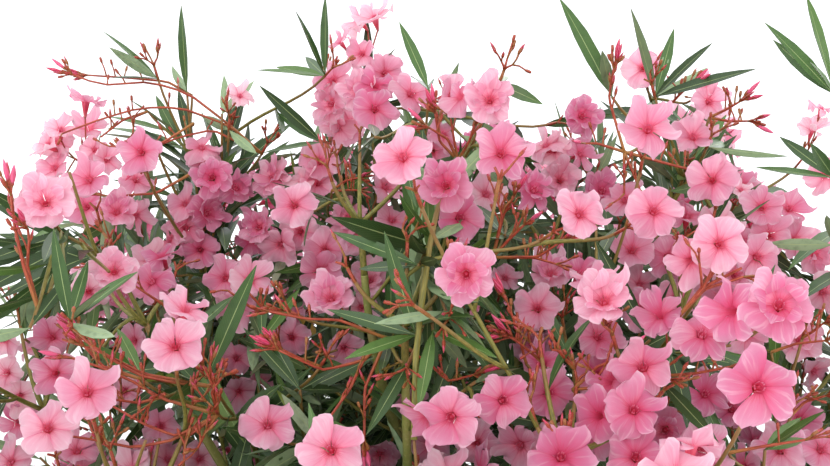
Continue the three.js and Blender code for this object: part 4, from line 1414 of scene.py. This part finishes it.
for shoot in shoots:
    if shoot["seen"]:
        grow_pictured_head(shoot)
    elif shoot["flowers"]:
        grow_head(shoot)
    elif shoot["spent"] or random.random() < SPENT_SHARE:
        shoot["carries"] = True
        grow_scars(shoot["ring"], rays(shoot["ring"], shoot["path"][-1], shoot["heading"]), 3)
for bare in bare_stalks:
    grow_bare_stalks(*bare)
tail_points = np.array([
    [foot, foot + way * length / 2, foot + way * length] for *_, foot, way, length in tails
])
for (ring, end, heading, foot, way, length), pierces in zip(tails, in_flowers(tail_points)):
    if not pierces:
        stalk(ring, end, heading, foot, way, TAIL_RADII)
        calyces.append((ring, foot, way))
        if length:
            buds.append((ring, foot, way, length, random.integers(1, 4) if length > SMALL_BUD * 1.3 else 0))
print(len(flowers), "flowers,", len(buds), "buds,", len(stalks), "stalks")

# %% [markdown]
# ## Leaves
#
# The leaf is a lance: seven times as long as wide, leathery, dark and glossy above, grey-green below,
# with one pale midrib. Leaves stand in threes, each whorl turned by half a step. A leaf here is two
# sheets of a few faces that share their outline, folded along the midrib and arched. The lower leaves
# of a shoot spread and droop, and the young ones stand close to it.

# %% Place the leaves
LEAF_LENGTH = 0.112
LEAF_LENGTHS = (0.06, 0.145)
WHORL_PITCH = 0.027
WHORL_COUNT = 3
YOUNG_TILT, OLD_TILT = 28, 66
WHORLS_TO_OLD = 4
LEAF_SHADES = 8
YELLOW_SHARE = 0.004
SEEN_LEAF_LENGTH = 0.085
SEEN_UNDERSIDE = 0.22
leaves = []


def leafed(shoot, root, way, face, length, arch, twist, shade, seen=False):
    """Adds a leaf of a shoot by its heading and the way its upper side faces."""
    upper = unit(face - way * (face @ way))
    leaves.append((shoot["ring"], shoot["number"], root, way, upper, length, arch, twist, shade, seen))


def sprout(shoot, root, heading, turn, age, length, shade):
    """Adds a leaf that leans from the shoot's heading by its age, from 0 to 1."""
    tilt = YOUNG_TILT + (OLD_TILT - YOUNG_TILT) * age + random.normal() * 9
    way = unit(leaning(heading, tilt, turn) - UP * 0.12 * age)
    arch = 0.02 + 0.15 * age + random.normal() * 0.05
    leafed(shoot, root, way, heading, length, arch, random.normal() * 18, shade)


def leaf_whorls(shoot):
    """Whorls of three from just below the shoot's end down to its start."""
    path, along = shoot["path"], distance_along(shoot["path"][None])[0]
    length = along[-1]
    first = 0.010 if shoot["flowers"] else 0.004 + shoot["bare"] * 0.1
    turn = random.random() * 360
    tone = random.normal() * 1.3 + 2.4
    for whorl, below in enumerate(np.arange(first, length - 0.012, WHORL_PITCH)):
        share = np.interp(length - below, along, np.arange(len(path)))
        step = min(int(share), len(path) - 2)
        root = path[step] + (path[step + 1] - path[step]) * (share - step)
        heading = unit(path[step + 1] - path[step])
        age = min(whorl / WHORLS_TO_OLD, 1)
        for i in range(WHORL_COUNT):
            size = LEAF_LENGTH * (0.78 + 0.30 * age) * (1 + 0.12 * random.normal())
            shade = int(np.clip(tone + random.normal() * 0.9 - age, 0, LEAF_SHADES - 2))
            shade = LEAF_SHADES - 1 if random.random() < YELLOW_SHARE else shade
            around_shoot = turn + 120 * i + 60 * (whorl % 2) + random.normal() * 9
            sprout(shoot, root, heading, around_shoot, age, np.clip(size, *LEAF_LENGTHS), shade)


def pictured_leaf(shoot, pixel, tip, shade):
    """A leaf from a shoot's end to the pixel of its tip, at least as long as leaves of this plant are."""
    root = shoot["path"][-1]
    flat = place_seen(*tip, pixel[2]) - root
    flat -= CAMERA_AHEAD * (flat @ CAMERA_AHEAD)
    length = max(1.04 * np.linalg.norm(flat), SEEN_LEAF_LENGTH)
    aside = math.sqrt(length**2 - flat @ flat) * (1 if random.random() < 0.5 else -1)
    way = unit(flat + CAMERA_AHEAD * aside)
    side = -1 if random.random() < SEEN_UNDERSIDE else 1
    face = side * (0.8 * unit(CAMERA_PLACE - root) + 0.7 * UP) + 0.35 * random.normal(size=3)
    leafed(shoot, root, way, face, length, 0.03 + 0.03 * random.normal(), random.normal() * 14, shade, True)


for shoot in shoots:
    leaf_whorls(shoot)
for shoot, pixel, tips in sprays:
    for tip in tips:
        pictured_leaf(shoot, pixel, tip, int(random.integers(0, 5)))
shoot = grow_towards(place_seen(*YELLOW_LEAF[0]), carries=True)
pictured_leaf(shoot, *YELLOW_LEAF, LEAF_SHADES - 1)
print(len(leaves), "leaves")


# %% Clear what the picture shows open
SKY_SPILL = 4
SPIKE_REACH = 30
SPIKE_SHARE = 0.12
VEIL_SHARE = 0.02
LEAF_CHECKS = np.linspace(0, 1, 7)[1:, None]


def leaf_arrays(rows):
    """The leaves' columns as arrays."""
    kinds = [np.array(column) for column in zip(*rows)]
    names = ("ring", "shoot", "root", "way", "face", "length", "arch", "twist", "shade", "seen")
    return dict(zip(names, kinds))


grown = leaf_arrays(leaves)
reach = grown["length"][:, None, None] * LEAF_CHECKS
arched = grown["face"][:, None] * grown["arch"][:, None, None] * LEAF_CHECKS
samples = grown["root"][:, None] + (grown["way"][:, None] - arched) * reach
covering = np.array([covers_a_spot(samples[:, i], SPOTS) for i in range(samples.shape[1])]).any(0)
spill = above_skyline(samples).max(1)
draw = random.random(len(leaves))
keep = (spill < SKY_SPILL) | ((spill < SPIKE_REACH) & (draw < SPIKE_SHARE))
keep &= ~covering | (draw > 1 - VEIL_SHARE)
keep &= ~in_flowers(samples)
keep |= grown["seen"]
grown = {key: column[keep] for key, column in grown.items()}
leafy = set(grown["shoot"].tolist())
standing = [shoot for shoot in shoots if shoot["carries"] or shoot["number"] in leafy]
print(int(keep.sum()), "leaves stay;", len(standing), "shoots carry something")


# %% Shape the leaves
LEAF_ROWS = np.array([0, 0.06, 0.20, 0.40, 0.63, 0.84, 1.0])
LEAF_HALF = np.array([0.10, 0.14, 0.68, 1.0, 0.93, 0.52, 0.03])
LEAF_FOLD = math.radians(15)
LEAF_THICKNESS = 0.0004
LEAF_WIDTH_SHARE = 0.152
LEAF_TILES = 4


def leaf_shape(grown):
    """Two sheets for each leaf, folded along the midrib, arched and twisted."""
    t = LEAF_ROWS[None, :, None]
    length, arch = grown["length"][:, None, None], grown["arch"][:, None, None]
    way, face = grown["way"][:, None], grown["face"][:, None]
    twist = np.radians(grown["twist"])[:, None, None] * t
    rib = grown["root"][:, None] + length * (way * t * (1 - 0.2 * np.abs(arch) * t) - face * arch * t * t)
    bent = unit(face + way * 2 * arch * t)
    side = np.cross(way, face) * np.ones_like(t)
    across = side * np.cos(twist) + bent * np.sin(twist)
    upward = bent * np.cos(twist) - side * np.sin(twist)
    half = length * LEAF_WIDTH_SHARE / 2 * LEAF_HALF[:, None]
    edge = across * half * math.cos(LEAF_FOLD)
    lift = upward * half * math.sin(LEAF_FOLD)
    sheet = np.stack([rib - edge + lift, rib, rib + edge + lift], 2)
    skin = upward[:, :, None] * LEAF_THICKNESS / 2
    local = np.stack(np.meshgrid([0, 0.5, 1], LEAF_ROWS), -1)
    upper = grid_shape(sheet + skin, local, grown["shade"], LEAF_TILES)
    under = grid_shape((sheet - skin)[:, :, ::-1], local, grown["shade"] + LEAF_SHADES, LEAF_TILES)
    return joined([upper, under])


leaf, tree, shader = new_finish("oleander_leaf", 0.40, Specular_IOR_Level=0.42)
u, v, tile = read_tiles(tree, LEAF_TILES)
shades = ramp(
    tree, add(tree, "Math", tile, 15.0, operation="DIVIDE"),
    *[(i / 15, code) for i, code in enumerate([
        "#29401c", "#2f4a20", "#385626", "#42622b", "#4f6e31", "#627d37", "#7f9140", "#c2902e",
        "#728762", "#7b9069", "#849a72", "#8da27c", "#97aa86", "#a1b290", "#abb99a", "#c9a552",
    ])],
)
off_rib = from_middle(tree, u)
veins = add(tree, "Math", v, 34.0, times(tree, off_rib, -24.0), operation="MULTIPLY_ADD")
vein = between(tree, add(tree, "Math", veins, 1.0, operation="PINGPONG"), 0.80, 1.0, 0.0, 0.22)
blotch = stretched_noise(tree, (u, v, tile), (2.0, 7.0, 1.0), 4.0, 0.6)
veined = mixed(tree, vein, shades, colour("#7d9656"))
clouded = mixed(tree, between(tree, blotch, 0.45, 0.75, 0.0, 0.35), veined, colour("#20351c"))
rib_edge = add(tree, "Math", v, -0.018, 0.032, operation="MULTIPLY_ADD")
rib_share = add(tree, "Math", off_rib, rib_edge, operation="LESS_THAN")
paint(tree, shader, mixed(tree, times(tree, rib_share, 0.7), clouded, colour("#a3b377")))
tree.links.new(between(tree, tile, 7.3, 7.7, 0.35, 0.60), shader.inputs["Roughness"])
bump(tree, shader, add(tree, "Math", vein, rib_share, operation="ADD"), 0.35, 0.0006)


def masses_of(row):
    """The solids that the pieces of a ring stand for."""
    return [name for name in NODES if name.startswith(f"mass_{row['name']}_")]


for ring, row in enumerate(RINGS):
    mine = {key: column[grown["ring"] == ring] for key, column in grown.items()}
    nodes = masses_of(row)
    piece(f"leaves_{row['name']}", leaf_shape(mine), leaf, nodes)

# %% [markdown]
# ## Petals
#
# A petal is widest near its tip, where it is cut off askew, and each leans over its neighbour like the
# blades of a fan. Narrow prongs stand in the throat. No two petals are alike: each has its own length,
# width, droop, cup and waves. Its colour runs from a red throat to a pale rim, with faint streaks, and
# light shines through it.

# %% Shape the flowers
# Petal rows: place along the petal, distance from the axis, half width, height before it opens
PETAL_ROWS = np.array([
    (0.00, 0.0014, 0.0011, -0.0200), (0.16, 0.0045, 0.0034, 0.0), (0.30, 0.0086, 0.0077, 0.0),
    (0.48, 0.0136, 0.0119, 0.0), (0.66, 0.0178, 0.0138, 0.0), (0.82, 0.0209, 0.0134, 0.0),
    (0.93, 0.0236, 0.0102, 0.0), (1.00, 0.0256, 0.0056, 0.0),
])
PLAIN_ROWS = PETAL_ROWS[[0, 1, 2, 4, 6, 7]]
FINE_COLUMNS, PLAIN_COLUMNS = np.linspace(-1, 1, 9), np.linspace(-1, 1, 5)
PETAL_COUNT = 5
PETAL_DROOP = 0.0066
PETAL_LEAN = 0.0056
PETAL_SKEW = 0.12
PETAL_WAVE = 0.0046
PETAL_RUFFLE = 0.0017
PETAL_ROUND = 0.04
PETAL_SLANT = 0.07
RIM_WAVE = 0.028
INNER_SIZE, INNER_OPEN, INNER_WIDTH = 0.70, 0.75, 0.80
DEEP_WIDTH = 0.80
PRONG_ROWS = np.array([
    (0.20, 0.0034, 0.0009, -0.001), (0.28, 0.0032, 0.0008, 0.0020), (0.42, 0.0036, 0.0002, 0.0044),
])
PRONG_TURNS = (-13, 13)
ANTHER_ROWS = np.array([
    (0.08, 0.0022, 0.0017, -0.007), (0.16, 0.0012, 0.0009, -0.001), (0.24, 0.0002, 0.0001, 0.003),
])
THROAT_TONE = 8
PETAL_TILES = 4


def flower_frames(axes):
    """Two directions across each flower's axis."""
    least = np.eye(3)[np.abs(axes).argmin(1)]
    side = unit(np.cross(axes, least))
    return side, np.cross(axes, side)


def petal_relief(c, v, reach, limb, opened, shape):
    """How far a petal rises: opening, drooping rim, lean over its neighbour, waves and a ruffled rim."""
    phase, ruffle = random.random(size=shape) * 2 * math.pi, random.random(size=shape) * 2 * math.pi
    droop = PETAL_DROOP * (0.4 + 1.2 * random.random(size=shape))
    lean = PETAL_LEAN * (1 + 0.6 * mild(shape))
    cup = 0.0032 * mild(shape) + 0.0006
    rise = opened * np.clip(reach - 0.0046, 0, None) - droop * limb**2 * (1.2 - opened)
    rise = rise + lean * c * limb + cup * c**2 * limb
    rise = rise + PETAL_WAVE * limb**2 * np.sin(phase + 2.4 * c + 2 * limb)
    return rise + PETAL_RUFFLE * limb**3 * np.sin(ruffle + 6.0 * c)


def whorl_shape(mouths, axes, sizes, opens, turns, shades, rows, columns, uneven=1, width=1):
    """One whorl of five petals or prongs for each flower."""
    side, front = flower_frames(axes)
    count = len(mouths)
    angle = np.radians(turns)[:, None] + 2 * math.pi / PETAL_COUNT * np.arange(PETAL_COUNT)
    angle += random.normal(size=angle.shape) * 0.06 * uneven
    radial = side[:, None] * np.cos(angle)[..., None] + front[:, None] * np.sin(angle)[..., None]
    axis = axes[:, None] * np.ones((1, PETAL_COUNT, 1))
    across = np.cross(radial, axis)
    v, reach, half, height = (rows[:, i][:, None] for i in range(4))
    limb = np.clip((v - 0.16) / 0.84, 0, 1)
    c = columns[None]
    shape = (count, PETAL_COUNT, 1, 1)
    long = 1 + mild(shape) * 0.05 * uneven
    width = np.broadcast_to(width, count)[:, None, None, None]
    wide = 1 - (1 - width * (0.87 + 0.27 * random.random(size=shape))) * uneven * np.clip(limb * 2, 0, 1)
    opened = opens[:, None, None, None] + mild(shape) * 0.20 * uneven
    slant = PETAL_SLANT * uneven * (1 + 0.7 * random.normal(size=shape)) * c * limb**2
    scallop = RIM_WAVE * uneven * limb**4 * np.sin(4.5 * c + 2 * math.pi * random.random(size=shape))
    out = reach * (1 - PETAL_ROUND * uneven * c**2 * limb**3 + slant + scallop) * long
    rise = height + uneven * petal_relief(c, v, reach, limb, opened, shape)
    aside = c * half * wide + PETAL_SKEW * uneven * reach * limb
    sizes = sizes[:, None, None, None, None]
    parts = np.broadcast_arrays(out, aside, rise)
    frames = (radial, across, axis)
    points = sum(frame[:, :, None, None] * part[..., None] for frame, part in zip(frames, parts))
    points = (mouths[:, None, None, None] + sizes * points).reshape(-1, len(rows), len(columns), 3)
    local = np.stack(np.broadcast_arrays((c + 1) / 2, v), -1)
    own = np.repeat(shades, PETAL_COUNT)
    if uneven:
        own = np.clip(own + random.integers(-1, 2, len(own)), 0, PETAL_SHADES - 1)
    return grid_shape(points, local, own, PETAL_TILES)


def petals_shape(ring):
    """All petals of a ring: outer whorls, inner ones for the double flowers, and prongs in the throats."""
    shapes = []
    for fine, rows, columns in ((True, PETAL_ROWS, FINE_COLUMNS), (False, PLAIN_ROWS, PLAIN_COLUMNS)):
        mine = [flower[1:] for flower in flowers if flower[0] == ring and flower[6] == fine]
        if not mine:
            continue
        mouths, axes, sizes, opens, shades, _, double = (np.array(column) for column in zip(*mine))
        turns = random.random(len(mine)) * 360
        widths = np.where(shades >= DOUBLE_TONE, DEEP_WIDTH, 1.0)
        shapes.append(whorl_shape(mouths, axes, sizes, opens, turns, shades, rows, columns, width=widths))
        if double.any():
            shapes.append(whorl_shape(
                mouths[double], axes[double], sizes[double] * INNER_SIZE, opens[double] * 0.5 + INNER_OPEN,
                turns[double] + 36, np.minimum(shades[double] + 2, PETAL_SHADES - 1),
                rows[-5:], columns, width=INNER_WIDTH,
            ))
        if fine:
            tones = np.full(len(mine), THROAT_TONE)
            for turn, rows in [(turn, PRONG_ROWS) for turn in PRONG_TURNS] + [(0, ANTHER_ROWS)]:
                shapes.append(whorl_shape(
                    mouths, axes, sizes, opens, turns + turn, tones, rows, np.array([-1, 1]), uneven=0,
                ))
    return joined(shapes)


petal, tree, shader = new_finish("oleander_petal", 0.6, Specular_IOR_Level=0.25)
u, v, tile = read_tiles(tree, PETAL_TILES)
streaks = stretched_noise(tree, (u, v, tile), (9.0, 0.9, 3.7), 3.0, 0.55)
rays_drawn = stretched_noise(tree, (u, v, tile), (26.0, 0.7, 5.3), 1.0, 0.55)
# The throat's red is the flower's own colour. At the deep end of the tube and in the throat, all three
# ramps paint it lighter, as painted light against the shade inside the tube.
plain = ramp(
    tree, v, (0.0, "#eeb0a8"), (0.10, "#ea6074"), (0.19, "#f07c94"), (0.30, "#f29cb4"),
    (0.46, "#f0a6be"), (0.75, "#f0b2c8"), (1.0, "#f3c3d5"),
)
deep = ramp(
    tree, v, (0.0, "#dc9090"), (0.10, "#cc3c5a"), (0.20, "#d64e74"), (0.40, "#d76a90"),
    (0.75, "#d982a5"), (1.0, "#e0a0bb"),
)
pale = ramp(
    tree, v, (0.0, "#f4bab4"), (0.10, "#ee7084"), (0.18, "#f48ea4"), (0.28, "#fab6c8"),
    (0.42, "#fbc4d3"), (0.75, "#fbcfdc"), (1.0, "#fcdae5"),
)
rather_deep = mixed(tree, between(tree, tile, 4.5, 11.5), plain, deep)
toned = mixed(tree, between(tree, tile, 4.5, 0.5), rather_deep, pale)
fading = between(tree, v, 0.15, 0.80, 0.36, 0.10)
streaked = times(tree, between(tree, streaks, 0.48, 0.68), fading)
deeper = mixed(tree, streaked, toned, colour("#e0568a"))
drawn = times(tree, between(tree, rays_drawn, 0.52, 0.64), between(tree, v, 0.20, 0.46, 0.55, 0.0))
rayed = mixed(tree, drawn, deeper, colour("#d8335a"))
light = times(tree, between(tree, streaks, 0.50, 0.34), between(tree, v, 0.2, 0.8, 0.0, 0.24))
brightened = mixed(tree, light, rayed, colour("#fff0f4"))
off_middle = from_middle(tree, u)
# Painted shade: the inner part of each petal turns a deeper pink near its side edges, where the petals lie
# over each other.
painted_seam_shade = times(tree, between(tree, off_middle, 0.30, 0.5), between(tree, v, 0.75, 0.35, 0.0, 0.32))
folded = mixed(tree, painted_seam_shade, brightened, colour("#cf5580"))
# Painted highlight: the side edges of the outer part of each petal are painted pale, nearly white, as if
# they caught the light.
rim = times(tree, between(tree, off_middle, 0.36, 0.5), between(tree, v, 0.55, 0.85, 0.0, 0.40))
tint = mixed(tree, rim, folded, colour("#fdeaf1"))
paint(tree, shader, tint)
bump(tree, shader, streaks, 0.25, 0.0008)
through = add(tree, "BsdfTranslucent", tint)
both = add(tree, "MixShader", 0.46, shader.outputs[0], through)
tree.links.new(both, tree.nodes["Material Output"].inputs["Surface"])

# %% Shape shoots, stalks, calyces and buds
SHOOT_SIDES, STALK_SIDES, CALYX_SIDES, BUD_SIDES = 6, 4, 4, 5
CALYX_PLACES = np.array([-0.0020, 0.0010, 0.0055])
CALYX_RADII = np.array([0.0009, 0.0017, 0.0014])
BUD_PLACES = np.array([0.0, 0.22, 0.50, 0.78, 1.0])
BUD_RADII = np.array([0.40, 0.78, 1.0, 0.62, 0.12])
BUD_WIDTH_SHARE = 0.125
BARK_TILES = 4
BRANCH_TILES = 3


def of_ring(rows, ring):
    """The columns of a ring's rows as arrays, without the ring itself."""
    return [np.array(column) for column in zip(*[row[1:] for row in rows if row[0] == ring])]


def dealt(count, tiles=BARK_TILES):
    """Tiles dealt out in turn."""
    return np.arange(count) % tiles


def turned_along(feet, ways, places, radii, sides, tile, across):
    """Small turned shapes on axes: places along and radii, (many, steps)."""
    paths = feet[:, None] + ways[:, None] * places[..., None]
    return tubes(paths, radii, sides, tile, across)


def shoots_shape(ring):
    """The stems and shoots of a ring."""
    mine = [shoot for shoot in standing if shoot["ring"] == ring]
    paths = np.array([shoot["path"] for shoot in mine])
    ends = np.array([shoot["radii"] for shoot in mine])
    share = np.linspace(0, 1, PATH_STEPS + 1)
    radii = ends[:, :1] + (ends[:, 1:] - ends[:, :1]) * share
    trunks = np.array([stem["path"] for stem in stems if stem["ring"] == ring])
    thick = np.tile(np.linspace(BOUGH_RADII[1], 1.1 * SHOOT_RADII[0], trunks.shape[1]), (len(trunks), 1))
    return joined([
        tubes(paths, radii, SHOOT_SIDES, dealt(len(mine)), 2),
        tubes(trunks, thick, SHOOT_SIDES * 2, dealt(len(trunks)), 2),
    ])


def stalks_shape(ring):
    """Flower stalks and calyces of a ring."""
    paths, radii = of_ring(stalks, ring)
    feet, ways = of_ring(calyces, ring)
    places, widths = (np.tile(row, (len(feet), 1)) for row in (CALYX_PLACES, CALYX_RADII))
    cups = turned_along(feet, ways, places, widths, CALYX_SIDES, dealt(len(feet)), 2)
    shapes = [tubes(paths, radii, STALK_SIDES, dealt(len(paths)), 2), cups]
    long = of_ring(branches_bare, ring)
    if long:
        paths, radii = long
        shapes.append(tubes(paths, radii, STALK_SIDES + 2, dealt(len(paths), BRANCH_TILES), 2))
    return joined(shapes)


def buds_shape(ring):
    """Spindle-shaped buds of a ring."""
    feet, ways, lengths, tiles = of_ring(buds, ring)
    places = lengths[:, None] * BUD_PLACES
    radii = lengths[:, None] * BUD_WIDTH_SHARE * BUD_RADII
    return turned_along(feet, ways, places, radii, BUD_SIDES, tiles, 2)


twig, tree, shader = new_finish("young_shoot", 0.5, Specular_IOR_Level=0.4)
u, v, tile = read_tiles(tree, 2)
grain = stretched_noise(tree, (u, v, tile), (9.0, 16.0, 1.0), 4.0, 0.6)
skin = ramp(tree, grain, (0.34, "#5e5f2a"), (0.52, "#7a7634"), (0.70, "#978a48"))
paint(tree, shader, mixed(tree, between(tree, v, 0.35, 1.0, 0.0, 0.65), skin, colour("#8a5638")))
bump(tree, shader, grain, 0.3, 0.0005)

red, tree, shader = new_finish("flower_stalk", 0.5, Specular_IOR_Level=0.4)
u, v, tile = read_tiles(tree, 2)
grain = stretched_noise(tree, (u, v, tile), (6.0, 9.0, 1.0), 3.0, 0.6)
skin = ramp(tree, grain, (0.32, "#742a1c"), (0.5, "#9e3f2b"), (0.70, "#bc6042"))
olive = mixed(tree, between(tree, tile, 2.3, 2.7, 0.0, 0.4), skin, colour("#8c7a3e"))
paint(tree, shader, mixed(tree, between(tree, v, 0.0, 0.45, 0.6, 0.0), olive, colour("#a0823e")))
bump(tree, shader, grain, 0.3, 0.0004)

bud, tree, shader = new_finish("flower_bud", 0.4, Specular_IOR_Level=0.45)
u, v, tile = read_tiles(tree, 2)
wound = add(tree, "Math", u, 5.0, times(tree, v, 1.6), operation="MULTIPLY_ADD")
seam = between(tree, add(tree, "Math", wound, 0.5, operation="PINGPONG"), 0.12, 0.40)
rose = ramp(
    tree, add(tree, "Math", tile, 3.0, operation="DIVIDE"),
    (0.0, "#a23431"), (0.34, "#b81f42"), (0.67, "#cc3058"), (1.0, "#de5a84"),
)
lined = mixed(tree, seam, rose, colour("#d9587c"))
paint(tree, shader, mixed(tree, between(tree, v, 0.25, 0.0, 0.0, 0.6), lined, colour("#8e3a38")))
bump(tree, shader, seam, 0.4, 0.0006)
for ring, row in enumerate(RINGS):
    nodes = masses_of(row)
    piece(f"petals_{row['name']}", petals_shape(ring), petal, nodes)
    piece(f"shoots_{row['name']}", shoots_shape(ring), twig, nodes)
    piece(f"stalks_{row['name']}", stalks_shape(ring), red, nodes)
    piece(f"buds_{row['name']}", buds_shape(ring), bud, nodes)

# %% [markdown]
# ## Floor, light and camera
#
# The photograph was taken under a bright, even sky, so the light is soft and the background almost
# white. A pale floor and a pale surrounding give the same. A large, soft light in front, a little above
# and to the left, models the petals, and a weaker one behind the plant shines through them. The camera
# stands where the picture was measured from.

# %% Set the stage
FLOOR_REACH = 30
FLOOR_SIDES = 96
SKY_COLOUR = (0.93, 0.95, 0.97, 1)
SKY_STRENGTH = 1.60
LIGHTS = [("front_light", (-1.2, -6.2, 3.0), 4.6, 140), ("back_light", (1.5, 3.5, 3.2), 3.0, 40)]
SENSOR_WIDTH = 36

bpy.ops.mesh.primitive_circle_add(vertices=FLOOR_SIDES, radius=FLOOR_REACH, fill_type="NGON")
floor = bpy.context.object
floor.name = "pale_floor"
pale_floor, tree, shader = new_finish("pale_floor", 0.9, Specular_IOR_Level=0.1)
place = add(tree, "TexCoord", out=3)
stain = noise(tree, place, 1.3, 3.0, 0.5)
paint(tree, shader, ramp(tree, stain, (0.3, "#eaeae8"), (0.7, "#ececea")))
floor.data.materials.append(pale_floor)

world = bpy.data.worlds.new("bright_sky")
world.use_nodes = True
world.node_tree.nodes["Background"].inputs[0].default_value = SKY_COLOUR
world.node_tree.nodes["Background"].inputs[1].default_value = SKY_STRENGTH
bpy.context.scene.world = world


def soft_light(name, place, size, power):
    """A square light that faces the middle of the crown."""
    lamp = bpy.data.lights.new(name, "AREA")
    lamp.size, lamp.energy = size, power
    holder = bpy.data.objects.new(name, lamp)
    holder.location = place
    aim = mathutils.Vector((0, 0, CROWN_MIDDLE)) - holder.location
    holder.rotation_euler = aim.to_track_quat("-Z", "Y").to_euler()
    bpy.context.scene.collection.objects.link(holder)


for light in LIGHTS:
    soft_light(*light)

view = bpy.data.cameras.new("photo_view")
view.sensor_width = SENSOR_WIDTH
view.lens = FOCAL_PIXELS / PICTURE_WIDTH * SENSOR_WIDTH
viewer = bpy.data.objects.new("photo_view", view)
viewer.location = CAMERA_PLACE
viewer.rotation_euler = (math.radians(90 + CAMERA_PITCH), 0, 0)
bpy.context.scene.collection.objects.link(viewer)
bpy.context.scene.camera = viewer
bpy.context.scene.view_settings.view_transform = "Standard"
